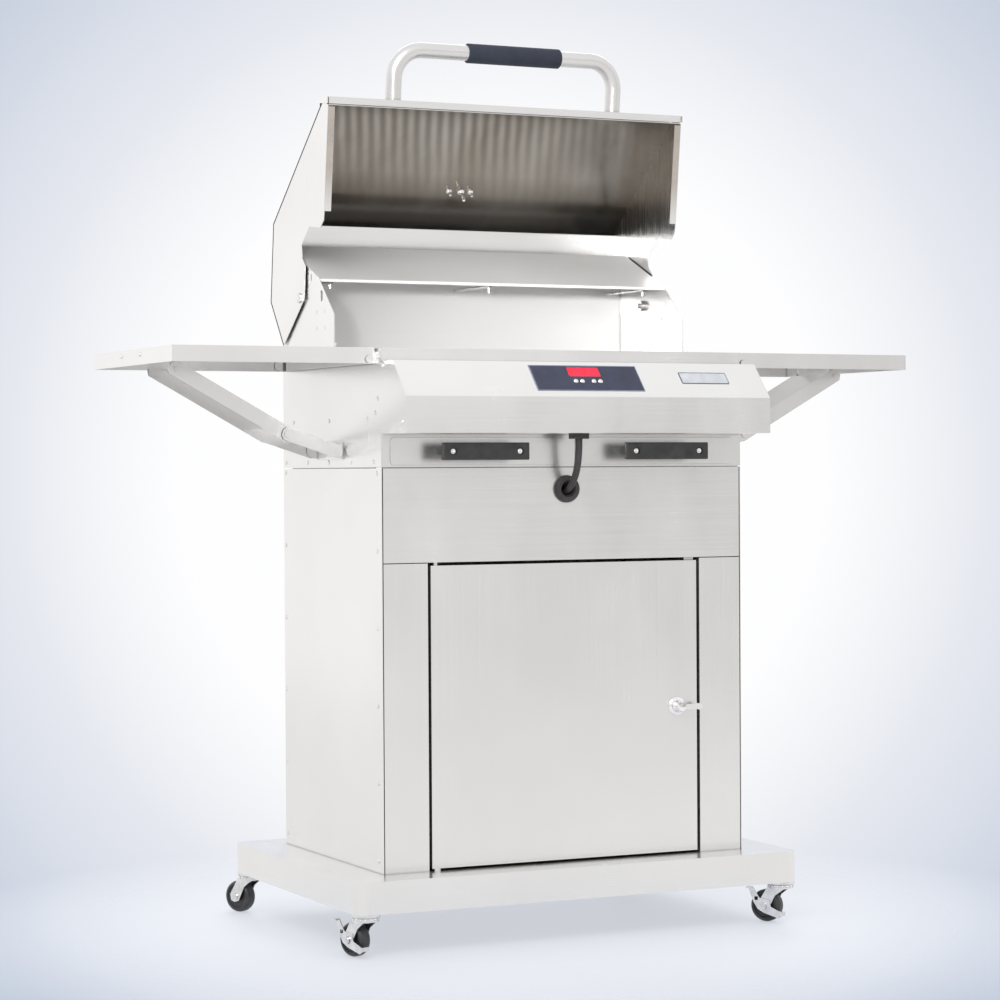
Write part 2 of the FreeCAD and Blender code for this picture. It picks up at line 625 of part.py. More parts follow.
def rack_arms():
    """Three wire arms that hold a warming rack, standing out from the rear sheet."""
    arms = []
    for x in RACK_ARM_X:
        length = DEPTH - SHEET - RACK_ARM_FRONT
        rod = cylinder(RACK_ARM_RADIUS, (x, RACK_ARM_FRONT, RACK_ARM_Z), (0, 1, 0), length)
        stop = cylinder(3.6, (x, RACK_ARM_FRONT - 4, RACK_ARM_Z), (0, 1, 0), 4.5)
        hook = cylinder(RACK_ARM_RADIUS, (x, RACK_ARM_FRONT, RACK_ARM_Z), (0, 0, -1), RACK_HOOK)
        arms.append(fuse([rod, stop, hook]))
    return arms


def tray_runners():
    """Rails under the edges of both trays, from the front sheet to the rear one."""
    spans = ((-306, -288), (-30, 30), (288, 306))
    rails = []
    for low, high in spans:
        rail = box(low, high, SHEET, DEPTH - SHEET, TRAY_BOTTOM - 0.3 - SHEET, TRAY_BOTTOM - 0.3)
        guide_x = {-306: low, -30: -2.0, 288: high - 4.0}[low]
        guide = box(guide_x, guide_x + 4.0, SHEET, DEPTH - SHEET, TRAY_BOTTOM - SHEET, TRAY_BOTTOM + 12)
        rails.append(fuse([rail, guide]))
    return rails


def pivot_pins():
    """Bolts that the hood turns on, and the upper and lower pins of the door."""
    y, z = HOOD_PIVOT
    washer = cylinder(9.0, (HALF_WIDTH, y, z), (1, 0, 0), HOOD_PLATE_INSIDE - HALF_WIDTH - 0.15)
    shaft = cylinder(HOOD_BOLT_RADIUS, (HALF_WIDTH, y, z), (1, 0, 0), 4.5)
    head = revolved([(0, 0), (8.5, 0), (8.5, 2.2), (6, 3.6), (0, 4)],
                    (HOOD_PLATE_INSIDE + SHEET + 0.25, y, z), (1, 0, 0))
    bolt = fuse([washer, shaft, head])
    nut = cylinder(9.0, (HALF_WIDTH - SHEET - 7, y, z), (1, 0, 0), 7)
    end = cylinder(4.0, (HALF_WIDTH - SHEET - 12, y, z), (1, 0, 0), 6)
    low = cylinder(HINGE_PIN_RADIUS, (HINGE_X, HINGE_Y, PLATFORM_TOP), (0, 0, 1), 12)
    collar = cylinder(7.0, (HINGE_X, HINGE_Y, PLATFORM_TOP), (0, 0, 1), 3.7)
    high = cylinder(HINGE_PIN_RADIUS, (HINGE_X, HINGE_Y, UPPER_PANEL_BOTTOM - 13), (0, 0, 1), 13)
    return both_sides(bolt) + both_sides(fuse([nut, end])) + [fuse([low, collar]), high]


def screw_places():
    """(y, z) of the screw heads on each side face."""
    front = [(SCREW_FRONT_Y, SCREW_LOW + 119.4 * i) for i in range(SCREWS_PER_EDGE)]
    rear = [(SCREW_REAR_Y, SCREW_LOW + 119.6 * i) for i in range(SCREWS_PER_EDGE)]
    seam = [(y, SCREW_SEAM_Z) for y in (30, 121, 214, 305, 401)]
    upper = [(54, 817), (211, 817), (367, 817), (22, 826.5), (12, 848)]
    wing = [(404, 960), (404, 1040), (180, 938)]
    return front + rear + seam + upper + wing


def panel_screws():
    heads = []
    for y, z in screw_places():
        head = revolved([(0, 0), (3.6, 0), (3.4, 0.7), (2.2, 1.35), (0, 1.5)], (HALF_WIDTH, y, z), (1, 0, 0))
        heads += both_sides(head)
    return heads


# ---------------------------------------------------------------- control box
def control_profile(inset):
    points = [(0.0, BOX_TOP), (-BOX_TOP_DEPTH, BOX_TOP), (-BOX_DEPTH, BOX_FACE_TOP),
              (-BOX_DEPTH, BOX_BOTTOM), (0.0, BOX_BOTTOM)]
    return offset_line(points, inset)


def control_box():
    outer = prism_x(control_profile(0), -HALF_WIDTH, HALF_WIDTH)
    hollow_line = control_profile(SHEET)
    hollow_line = [(1.0, hollow_line[0][1])] + hollow_line[1:-1] + [(1.0, hollow_line[-1][1])]
    hollow = prism_x(hollow_line, -HALF_WIDTH + SHEET, HALF_WIDTH - SHEET)
    left, right, first, last = DISPLAY
    window = on_slope(box(left + 1, right - 1, -last + 1, -first - 1, -5, 5))
    holes = [on_slope(cylinder(BUTTON_RADIUS + RUNNING, (x, -BUTTON_DOWN, -5), (0, 0, 1), 10))
             for x in BUTTON_X]
    gland_hole = cylinder(8.0 + GAP, (0, GLAND_Y, BOX_BOTTOM - 3), (0, 0, 1), 8)
    shell = cut(outer, [hollow, window, gland_hole] + holes)
    return shell.common(box(-400, 400, -200, -0.05, 700, 1000))


def control_membrane():
    left, right, first, last = MEMBRANE
    sheet = on_slope(box(left, right, -last, -first, 0, MEMBRANE_THICKNESS))
    left, right, first, last = DISPLAY
    window = on_slope(box(left, right, -last, -first, -2, 5))
    holes = [on_slope(cylinder(BUTTON_RADIUS + RUNNING, (x, -BUTTON_DOWN, -5), (0, 0, 1), 10))
             for x in BUTTON_X]
    return cut(sheet, [window] + holes)


def display_window():
    left, right, first, last = DISPLAY
    return on_slope(box(left + GAP, right - GAP, -last + GAP, -first - GAP, 0.0, MEMBRANE_THICKNESS - 0.1))


def control_button(x):
    """Domed metal key with a collar that holds it behind the sheet."""
    crown = MEMBRANE_THICKNESS + 0.7
    key = revolved([(0, -3.0), (4.7, -3.0), (4.7, -1.5), (BUTTON_RADIUS, -1.5), (BUTTON_RADIUS, crown),
                    (3.2, crown + 0.7), (1.8, crown + 1.1), (0, crown + 1.25)], (0, 0, 0), (0, 0, 1))
    key.translate(Vector(x, -BUTTON_DOWN, 0))
    turned = key.copy()
    turned.rotate(Vector(0, 0, 0), Vector(1, 0, 0), SLOPE_ANGLE)
    turned.translate(Vector(0, -BOX_TOP_DEPTH, BOX_TOP))
    return turned


def controller_board():
    """Circuit board on four posts behind the slope, with its key switches, display and relays."""
    left, right, first, last = MEMBRANE
    board = box(left + 2, right - 2, -last, -first, -9.0, -7.4)
    posts = [box(x - 3, x + 3, y - 3, y + 3, -7.5, -SHEET) for x in (left + 8, right - 8)
             for y in (-last + 5, -first - 5)]
    switches = [box(x - 3, x + 3, -BUTTON_DOWN - 3, -BUTTON_DOWN + 3, -7.5, -4.0) for x in BUTTON_X]
    left, right, first, last = DISPLAY
    screen = box(left + 2, right - 2, -last + 2, -first - 2, -7.5, -1.5)
    relays = [box(x, x + 19, -38, -22, -24, -8.9) for x in (-80, -52, 40)]
    return on_slope(fuse([board, screen] + posts + switches + relays))


def cord_gland():
    """Square-shouldered cap below the box, its sleeve through the sheet and its nut inside."""
    cap = rounded_cap()
    sleeve = cylinder(8.0, (0, GLAND_Y, BOX_BOTTOM - 1), (0, 0, 1), 9)
    nut = cylinder(12.0, (0, GLAND_Y, BOX_BOTTOM + SHEET), (0, 0, 1), 4.5)
    bore = cylinder(CORD_RADIUS + 0.5, (0, GLAND_Y, BOX_BOTTOM - 3), (0, 0, 1), 20)
    return fuse([cap, sleeve, nut]).cut(bore)


def rounded_cap():
    cap = box(-14, 14, GLAND_Y - 11, GLAND_Y + 11, GLAND_CAP_BOTTOM, BOX_BOTTOM)
    upright = [e for e in cap.Edges if abs(e.Vertexes[0].Z - e.Vertexes[1].Z) > 1]
    return cap.makeFillet(4.0, upright)


# ---------------------------------------------------------------- drip trays
def drip_tray(side):
    middle = side * TRAY_CENTRE
    half = TRAY_HALF_WIDTH
    back = TRAY_LENGTH
    pan = box(middle - half, middle + half, -TRAY_FRONT_GAP - 0.6, back, TRAY_BOTTOM, TRAY_WALL_TOP)
    hollow = box(middle - half + SHEET, middle + half - SHEET, -TRAY_FRONT_GAP, back - SHEET,
                 TRAY_BOTTOM + SHEET, TRAY_WALL_TOP + 1)
    width, height = TRAY_FRONT_SIZE
    front = rounded_plate(middle - width / 2, middle + width / 2, -TRAY_FRONT_GAP - SHEET, -TRAY_FRONT_GAP,
                          TRAY_FRONT_BOTTOM, TRAY_FRONT_BOTTOM + height, TRAY_FRONT_CORNER)
    return fuse([pan.cut(hollow), front])


def tray_handle(side):
    """Moulded bar on two posts, with recessed screw seats."""
    middle = side * TRAY_CENTRE
    length, thickness, height = HANDLE_BAR
    front = HANDLE_CENTRE_Y - thickness / 2
    back = HANDLE_CENTRE_Y + thickness / 2
    bar = box(middle - length / 2, middle + length / 2, front, back,
              HANDLE_CENTRE_Z - height / 2, HANDLE_CENTRE_Z + height / 2)
    bar = bar.makeFillet(2.0, bar.Edges)
    post_length = -TRAY_FRONT_GAP - SHEET - back + 1
    posts = [cylinder(7.0, (middle + s * HANDLE_SCREW, back - 1, HANDLE_CENTRE_Z), (0, 1, 0), post_length)
             for s in (-1, 1)]
    seats = [cylinder(5.5, (middle + s * HANDLE_SCREW, front - 1, HANDLE_CENTRE_Z), (0, 1, 0), 5)
             for s in (-1, 1)]
    return fuse([bar] + posts).cut(seats)


# ---------------------------------------------------------------- folding shelves
def out(distance):
    return HALF_WIDTH + distance


def shelf():
    """Right-hand shelf: a pan with a skirt, hinge holes, and two lugs with pins for the strut."""
    x0, x1 = out(SHELF_INNER), out(SHELF_OUTER)
    low = SHELF_TOP - SHELF_SKIRT
    pan = box(x0, x1, SHELF_FRONT, SHELF_BACK, low, SHELF_TOP)
    hollow = box(x0 + SHEET, x1 - SHEET, SHELF_FRONT + SHEET, SHELF_BACK - SHEET, low - 1, SHELF_TOP - SHEET)
    bays = [box(x0 - 1, x0 + SHEET + 1, y0, y1, low - 1, SHELF_TOP - SHEET)
            for y0, y1 in ((SHELF_FRONT + SHEET, 26), (383, SHELF_BACK - SHEET))]
    hinge_x, hinge_z = out(SHELF_HINGE[0]), SHELF_HINGE[1]
    holes = [cylinder(SHELF_PIN_RADIUS + RUNNING, (hinge_x, y, hinge_z), (0, 1, 0), 4)
             for y in (SHELF_FRONT - 1, SHELF_BACK - 2)]
    top_x, top_z = out(STRUT_TOP[0]), STRUT_TOP[1]
    lug_line = [(top_x - 9, top_z - 8), (top_x + 9, top_z - 8), (top_x + 11, SHELF_TOP - SHEET),
                (top_x - 11, SHELF_TOP - SHEET)]
    front_lug = prism_y(lug_line, STRUT_FRONT + 4.2, STRUT_FRONT + 6.4)
    back_lug = prism_y(lug_line, STRUT_BACK - 6.4, STRUT_BACK - 4.2)
    pins = [cylinder(SHELF_PIN_RADIUS, (top_x, STRUT_FRONT - 0.5, top_z), (0, 1, 0), 6),
            cylinder(SHELF_PIN_RADIUS, (top_x, STRUT_BACK - 5.5, top_z), (0, 1, 0), 6)]
    return fuse([cut(pan, [hollow] + bays + holes), front_lug, back_lug] + pins)


def bar_between(a, b, width, y0, y1, overhang):
    """Flat bar with round-ish ends from a to b in the (out, z) plane."""
    dx, dz = b[0] - a[0], b[1] - a[1]
    size = math.hypot(dx, dz)
    ux, uz = dx / size, dz / size
    nx, nz = -uz * width / 2, ux * width / 2
    nose = overhang * 0.45
    line = [(a[0] - ux * nose + nx, a[1] - uz * nose + nz),
            (a[0] - ux * overhang + nx * 0.4, a[1] - uz * overhang + nz * 0.4),
            (a[0] - ux * overhang - nx * 0.4, a[1] - uz * overhang - nz * 0.4),
            (a[0] - ux * nose - nx, a[1] - uz * nose - nz),
            (b[0] + ux * nose - nx, b[1] + uz * nose - nz),
            (b[0] + ux * overhang - nx * 0.4, b[1] + uz * overhang - nz * 0.4),
            (b[0] + ux * overhang + nx * 0.4, b[1] + uz * overhang + nz * 0.4),
            (b[0] + ux * nose + nx, b[1] + uz * nose + nz)]
    return prism_y([(out(x), z) for x, z in line], y0, y1)


def strut():
    """Channel from the shelf down to the knuckle, open downwards."""
    flanges = [bar_between(STRUT_TOP, KNUCKLE, STRAP_WIDTH, STRUT_FRONT + 1.6, STRUT_FRONT + 3.4, 11),
               bar_between(STRUT_TOP, KNUCKLE, STRAP_WIDTH, STRUT_BACK - 3.4, STRUT_BACK - 1.6, 11)]
    dx, dz = KNUCKLE[0] - STRUT_TOP[0], KNUCKLE[1] - STRUT_TOP[1]
    size = math.hypot(dx, dz)
    ux, uz = dx / size, dz / size
    nx, nz = uz, -ux
    rise = STRAP_WIDTH / 2
    start, end = 16.0, size - 4.0
    line = []
    for along, side in ((start, rise), (end, rise), (end, rise - SHEET * 1.5), (start, rise - SHEET * 1.5)):
        line.append((out(STRUT_TOP[0] + ux * along + nx * side), STRUT_TOP[1] + uz * along + nz * side))
    web = prism_y(line, STRUT_FRONT + 1.6, STRUT_BACK - 1.6)
    hole = cylinder(SHELF_PIN_RADIUS + RUNNING, (out(STRUT_TOP[0]), STRUT_FRONT - 5, STRUT_TOP[1]),
                    (0, 1, 0), STRUT_BACK - STRUT_FRONT + 10)
    return fuse(flanges + [web]).cut(hole)


def strut_link():
    """Pair of straps from the knuckle to the wall bracket, joined by a cross plate, with their bolt heads."""
    front = (STRUT_FRONT - STRAP_THICKNESS, STRUT_FRONT)
    back = (STRUT_BACK, STRUT_BACK + STRAP_THICKNESS)
    straps = [bar_between(KNUCKLE, LINK_WALL, STRAP_WIDTH - 2, y0, y1, 9) for y0, y1 in (front, back)]
    heads = [cylinder(6.0, (out(KNUCKLE[0]), y, KNUCKLE[1]), (0, 1, 0), 3.5)
             for y in (front[0] - 3.0, back[1] - 0.5)]
    dx, dz = KNUCKLE[0] - LINK_WALL[0], KNUCKLE[1] - LINK_WALL[1]
    size = math.hypot(dx, dz)
    ux, uz = dx / size, dz / size
    corners = []
    for along, side in ((14, 9.5), (30, 9.5), (30, 7.7), (14, 7.7)):
        corners.append((out(LINK_WALL[0] + ux * along - uz * side), LINK_WALL[1] + uz * along + ux * side))
    cross = prism_y(corners, front[0], back[1])
    hole = cylinder(SHELF_PIN_RADIUS + RUNNING, (out(LINK_WALL[0]), STRUT_FRONT - 20, LINK_WALL[1]),
                    (0, 1, 0), 150)
    return fuse(straps + heads + [cross]).cut(hole)


def shelf_bracket():
    """Right-hand wall brackets: two ears with the shelf's hinge pins, and the ears of the link."""
    wall = HALF_WIDTH
    hinge_x, hinge_z = out(SHELF_HINGE[0]), SHELF_HINGE[1]
    brackets = []
    for y0, y1, pin0, pin1 in ((SHELF_FRONT + 2.4, SHELF_FRONT + 5.4, SHELF_FRONT - 2.5, SHELF_FRONT + 3),
                               (SHELF_BACK - 5.4, SHELF_BACK - 2.4, SHELF_BACK - 3, SHELF_BACK + 2.5)):
        ear = prism_y([(wall, EAR_LOW), (wall + 12, EAR_LOW), (wall + 22, EAR_LOW + 4), (wall + 22, 915),
                       (wall + 17, EAR_HIGH), (wall, EAR_HIGH)], y0, y1)
        pin = cylinder(SHELF_PIN_RADIUS, (hinge_x, pin0, hinge_z), (0, 1, 0), pin1 - pin0)
        foot_y = y0 if pin0 < y0 and y0 < 100 else y1 - 14
        foot = box(wall, wall + 1.5, foot_y, foot_y + 14, EAR_LOW, EAR_HIGH)
        head_y = pin0 - 2.5 if y0 < 100 else pin1 - 0.2
        head = cylinder(6.0, (hinge_x, head_y, hinge_z), (0, 1, 0), 2.7)
        brackets.append(fuse([ear, pin, foot, head]))
    link_x, link_z = out(LINK_WALL[0]), LINK_WALL[1]
    plate = box(wall, wall + 1.5, STRUT_FRONT + 1, STRUT_BACK - 1, link_z - 13, link_z + 16)
    ears = []
    pins = []
    for y0, y1, pin0 in ((STRUT_FRONT + 1, STRUT_FRONT + 3.2, STRUT_FRONT - STRAP_THICKNESS - 1.0),
                         (STRUT_BACK - 3.2, STRUT_BACK - 1, STRUT_BACK - 2)):
        ears.append(prism_y([(wall, link_z - 13), (wall + 14, link_z - 9), (wall + 20, link_z - 2),
                             (wall + 20, link_z + 5), (wall + 12, link_z + 10), (wall, link_z + 12)], y0, y1))
        pins.append(cylinder(SHELF_PIN_RADIUS, (link_x, pin0, link_z), (0, 1, 0), 5.2))
    brackets.append(fuse([plate] + ears + pins))
    return brackets


# ---------------------------------------------------------------- hood
def hood_outline():
    return [HOOD_MOUTH_FRONT, HOOD_MOUTH_BACK] + HOOD_TAIL + [HOOD_BACK, HOOD_CREST, HOOD_NOSE]


def hood_side_plates():
    inner = HOOD_PLATE_INSIDE
    plate = prism_x(hood_outline(), inner, inner + SHEET)
    flange = box(inner - 11, inner + 0.5, 15, HOOD_MOUTH_BACK[0] - 1, HOOD_MOUTH_FRONT[1],
                 HOOD_MOUTH_FRONT[1] + SHEET)
    hole = cylinder(HOOD_BOLT_RADIUS + RUNNING, (inner - 5, *HOOD_PIVOT), (1, 0, 0), 12)
    return [opened(s) for s in both_sides(fuse([plate, flange]).cut(hole))]


def hood_slope_y(z):
    """Y of the hood's front slope at height z."""
    y0, z0 = HOOD_NOSE
    y1, z1 = HOOD_CREST
    return y0 + (z - z0) * (y1 - y0) / (z1 - z0)


def hood_shell():
    """Front slope and top in one folded sheet, with a small return along its back edge."""
    inner = HOOD_PLATE_INSIDE - GAP
    start_y = TRIM_FRONT + TRIM_DEPTH + SHEET
    foot_z = HOOD_NOSE[1] + (start_y - HOOD_NOSE[0]) / (hood_slope_y(1) - hood_slope_y(0))
    line = [(HOOD_BACK[0], HOOD_BACK[1] - HOOD_BACK_RETURN), HOOD_BACK, HOOD_CREST, (start_y, foot_z),
            (start_y, TRIM_BOTTOM + SHEET)]
    return opened(folded(line, -inner, inner, SHEET))


def hood_front_trim():
    """Boxed hem along the hood's mouth, with end caps that stand past the side plates."""
    inner = HOOD_PLATE_INSIDE - GAP
    leg_end = hood_slope_y(TRIM_TOP - SHEET) - 0.4
    line = [(TRIM_FRONT + TRIM_DEPTH, TRIM_BOTTOM), (TRIM_FRONT, TRIM_BOTTOM), (TRIM_FRONT, TRIM_TOP),
            (leg_end, TRIM_TOP)]
    channel = folded(line, -inner, inner, -SHEET)
    ends = []
    for side in (-1, 1):
        skin = box(*sorted((side * (inner - 1), side * TRIM_END)), TRIM_FRONT, TRIM_FRONT + SHEET,
                   TRIM_BOTTOM, TRIM_TOP)
        cap = box(*sorted((side * (HOOD_PLATE_INSIDE + SHEET + GAP), side * TRIM_END)), TRIM_FRONT,
                  TRIM_FRONT + TRIM_DEPTH, TRIM_BOTTOM, TRIM_TOP)
        ends += [skin, cap]
    return opened(fuse([channel] + ends))


def handle_path():
    front = TRIM_FRONT - HANDLE_REACH
    points = [Vector(-HANDLE_HALF_SPAN, TRIM_FRONT, HANDLE_Z), Vector(-HANDLE_HALF_SPAN, front, HANDLE_Z),
              Vector(HANDLE_HALF_SPAN, front, HANDLE_Z), Vector(HANDLE_HALF_SPAN, TRIM_FRONT, HANDLE_Z)]
    return tube_path(points, [HANDLE_BEND, HANDLE_BEND]), points[0]


def hood_handle():
    path, start = handle_path()
    outer = round_tube(path, HANDLE_RADIUS, start, Vector(0, -1, 0))
    inner = round_tube(path, HANDLE_RADIUS - HANDLE_WALL, start, Vector(0, -1, 0))
    return opened(outer.cut(inner))


def handle_grip():
    front = TRIM_FRONT - HANDLE_REACH
    bore = HANDLE_RADIUS + GAP
    length = GRIP_RIGHT - GRIP_LEFT
    profile = [(bore, 0), (GRIP_RADIUS - 1.5, 0), (GRIP_RADIUS, 1.5), (GRIP_RADIUS, length - 1.5),
               (GRIP_RADIUS - 1.5, length), (bore, length)]
    return opened(revolved(profile, (GRIP_LEFT, front, HANDLE_Z), (1, 0, 0)))


def thermometer_place():
    """Middle of the thermometer on the hood's front slope, and the slope's outward direction."""
    y0, z0 = HOOD_NOSE
    y1, z1 = HOOD_CREST
    size = math.hypot(y1 - y0, z1 - z0)
    normal = (0.0, -(z1 - z0) / size, (y1 - y0) / size)
    z = 1084.0
    return (-12.0, hood_slope_y(z), z), normal


def hood_thermometer():
    """Round dial on the slope and its stem inside, one piece on each face of the sheet, and two screws."""
    place, normal = thermometer_place()
    dial = revolved([(0, 0.1), (31, 0.1), (33, 2), (33, 9), (30, 11), (29, 9.5), (0, 9.5)], place, normal)
    inward = tuple(-n for n in normal)
    stem = revolved([(0, SHEET + 0.1), (6, SHEET + 0.1), (6, 4.5), (2.6, 5.5), (2.6, 24), (0, 26)],
                    place, inward)
    screws = []
    for dx in (-22.0, 18.0):
        beside = (place[0] + dx, place[1], place[2])
        screws.append(revolved([(0, SHEET + 0.1), (5, SHEET + 0.1), (5, 4), (2.2, 4.2), (2.2, 13), (0, 13.5)],
                               beside, inward))
    return [opened(s) for s in [dial, stem] + screws]


# ---------------------------------------------------------------- power cord
def cord_radii():
    points = [Vector(*p) for p in CORD_ROUTE]
    radii = []
    for i in range(1, len(points) - 1):
        before = points[i - 1] - points[i]
        after = points[i + 1] - points[i]
        half_turn = (math.pi - before.getAngle(after)) / 2
        radii.append(0.45 * min(before.Length, after.Length) / math.tan(half_turn))
    return points, radii


def power_cord():
    points, radii = cord_radii()
    path = tube_path(points, radii)
    tube = round_tube(path, CORD_RADIUS, points[0], points[1] - points[0])
    print("cord radii", [round(r) for r in radii])
    print("cord length", round(path.Length), "volume ratio",
          round(tube.Volume / (math.pi * CORD_RADIUS ** 2 * path.Length), 4))
    return tube


def cord_coil():
    """Outer shape of the coiled end, lying on the cabinet floor."""
    inner, outer = COIL_RADIUS - 11.0, COIL_RADIUS + 11.0
    profile = [(inner + 3, 0.1), (outer - 3, 0.1), (outer, 3), (outer, 19), (outer - 3, 22.1),
               (inner + 3, 22.1), (inner, 19), (inner, 3)]
    return revolved(profile, (*COIL_CENTRE, PLATFORM_TOP), (0, 0, 1))


def power_plug():
    """Three-pin plug lying beside the coil, its boot leaving the coil at a tangent."""
    x = COIL_CENTRE[0] + COIL_RADIUS
    y = COIL_CENTRE[1] - 32.0
    z = PLATFORM_TOP + 14.0
    boot = revolved([(0, 0), (6.2, 0), (8.5, 28), (0, 28)], (x, y, z), (0, -1, 0))
    body = box(x - 16, x + 16, y - 64, y - 26, z - 13.8, z + 12)
    upright = [e for e in body.Edges if abs(e.Vertexes[0].Y - e.Vertexes[1].Y) > 1]
    body = body.makeFillet(5.0, upright)
    blades = [box(x + dx - 0.8, x + dx + 0.8, y - 82, y - 63, z - 6, z + 1) for dx in (-6.4, 6.4)]
    earth = cylinder(2.4, (x, y - 63, z + 6), (0, -1, 0), 21)
    return fuse([boot, body, earth] + blades)


# ---------------------------------------------------------------- everything
def main():
    os.makedirs("parts", exist_ok=True)
    save("base_platform", base_platform())
    save("caster_plates", caster_plates())
    save("cabinet_side_panels", cabinet_side_panels())
    save("back_panels", back_panels())
    save("front_stiles", front_stiles())
    save("upper_front_panel", upper_front_panel())
    save("cord_grommet", cord_grommet())
    save("door_panel", door_panel())
    save("latch_rosette", latch_rosette())
    save("latch_lever", latch_lever())
    save("body_side_panels", body_side_panels())
    save("body_front_frame", body_front_frame())
    save("firebox_liner", firebox_liner())
    save("heating_element", heating_element())
    save("element_reflector", element_reflector())
    save("cooking_grate", cooking_grate())
    save("rear_cover", rear_cover())
    save("rack_arms", rack_arms())
    save("tray_runners", tray_runners())
    save("pivot_pins", pivot_pins())
    save("panel_screws", panel_screws())
    save("control_box", control_box())
    save("control_membrane", control_membrane())
    save("display_window", display_window())
    save("controller_board", controller_board())
    for i, x in enumerate(BUTTON_X):
        save("control_button_%d" % (i + 1), control_button(x))
    save("cord_gland", cord_gland())
    for name, side in (("left", -1), ("right", 1)):
        save(name + "_drip_tray", drip_tray(side))
        save(name + "_tray_handle", tray_handle(side))
    for node, make in (("shelf", shelf), ("strut", strut), ("strut_link", strut_link)):
        save("right_" + node, make())
        save("left_" + node, mirrored(make()))
    brackets = shelf_bracket()
    save("shelf_brackets", brackets + [mirrored(b) for b in brackets])
    save("hood_shell", hood_shell())
    save("hood_side_plates", hood_side_plates())
    save("hood_front_trim", hood_front_trim())
    save("hood_handle", hood_handle())
    save("handle_grip", handle_grip())
    save("hood_thermometer", hood_thermometer())
    for corner in stem_places():
        save("caster_fork_" + corner, placed_caster(caster_fork(corner in BRAKED), corner))
        save("caster_wheel_" + corner, placed_caster(caster_wheel(), corner))
        if corner in BRAKED:
            save("caster_brake_" + corner, placed_caster(caster_brake(), corner))
    save("power_cord", power_cord())
    save("cord_coil", cord_coil())
    save("power_plug", power_plug())


main()
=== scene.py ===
"""Looks of the stainless grill cart: camera, cord, small fittings, materials, floor and lights."""
import math

import bmesh
import bpy
from mathutils import Matrix, Vector


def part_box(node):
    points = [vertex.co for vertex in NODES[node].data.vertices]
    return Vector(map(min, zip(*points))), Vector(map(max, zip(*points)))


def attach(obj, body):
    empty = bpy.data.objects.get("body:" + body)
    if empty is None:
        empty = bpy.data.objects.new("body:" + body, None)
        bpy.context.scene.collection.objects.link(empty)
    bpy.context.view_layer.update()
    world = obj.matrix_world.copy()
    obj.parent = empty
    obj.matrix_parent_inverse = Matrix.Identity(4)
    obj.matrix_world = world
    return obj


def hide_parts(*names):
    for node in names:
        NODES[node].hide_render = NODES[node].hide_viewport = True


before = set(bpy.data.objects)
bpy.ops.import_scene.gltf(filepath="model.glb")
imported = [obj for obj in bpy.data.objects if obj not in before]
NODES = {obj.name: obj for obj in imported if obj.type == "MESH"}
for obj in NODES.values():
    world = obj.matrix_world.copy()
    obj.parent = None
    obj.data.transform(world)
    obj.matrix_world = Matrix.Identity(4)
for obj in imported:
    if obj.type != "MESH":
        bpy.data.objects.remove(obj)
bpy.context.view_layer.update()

MM = 0.001
FRONT_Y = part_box("cabinet_side_panels")[0].y      # the cabinet's front face


def place(x, y, z):
    """A point given in millimetres from the cabinet's front face and the floor, in the frame."""
    return Vector((x * MM, FRONT_Y + y * MM, z * MM))


# ---------------------------------------------------------------- camera
CAMERA_PLACE = place(-2008.7, -3958.5, 739.5)
CAMERA_YAW = math.radians(25.552)
CAMERA_PITCH = math.radians(-0.640)
CAMERA_ROLL = math.radians(-0.320)
CAMERA_LENS = 101.08
BACKDROP_AXIS = (math.sin(CAMERA_YAW), math.cos(CAMERA_YAW), 0.0)


def make_camera():
    data = bpy.data.cameras.new("view")
    data.lens = CAMERA_LENS
    data.sensor_width = 36.0
    data.clip_end = 200.0
    camera = bpy.data.objects.new("view", data)
    bpy.context.scene.collection.objects.link(camera)
    flat = math.cos(CAMERA_PITCH)
    ahead = Vector((math.sin(CAMERA_YAW) * flat, math.cos(CAMERA_YAW) * flat, math.sin(CAMERA_PITCH)))
    right = Vector((math.cos(CAMERA_YAW), -math.sin(CAMERA_YAW), 0))
    up = right.cross(ahead)
    tilted_right = right * math.cos(CAMERA_ROLL) + up * math.sin(CAMERA_ROLL)
    tilted_up = up * math.cos(CAMERA_ROLL) - right * math.sin(CAMERA_ROLL)
    turn = Matrix((tilted_right, tilted_up, -ahead)).transposed()
    camera.matrix_world = Matrix.Translation(CAMERA_PLACE) @ turn.to_4x4()
    bpy.context.scene.camera = camera


# ---------------------------------------------------------------- node helpers
def ramp_node(tree, value, stops):
    ramp = tree.nodes.new("ShaderNodeValToRGB")
    elements = ramp.color_ramp.elements
    while len(elements) < len(stops):
        elements.new(0.5)
    for element, (position, colour) in zip(elements, stops):
        element.position = position
        element.color = (*colour, 1.0)
    tree.links.new(value, ramp.inputs["Fac"])
    return ramp.outputs["Color"]


def range_node(tree, value, start, stop, low=0.0, high=1.0):
    span = tree.nodes.new("ShaderNodeMapRange")
    span.inputs["From Min"].default_value = start
    span.inputs["From Max"].default_value = stop
    span.inputs["To Min"].default_value = low
    span.inputs["To Max"].default_value = high
    tree.links.new(value, span.inputs["Value"])
    return span.outputs["Result"]


def mix_node(tree, factor, a, b):
    mix = tree.nodes.new("ShaderNodeMix")
    mix.data_type = "RGBA"
    sockets = [s for s in mix.inputs if s.enabled]
    for value, socket in zip((factor, a, b), sockets):
        tree.links.new(value, socket)
    return [s for s in mix.outputs if s.enabled][0]


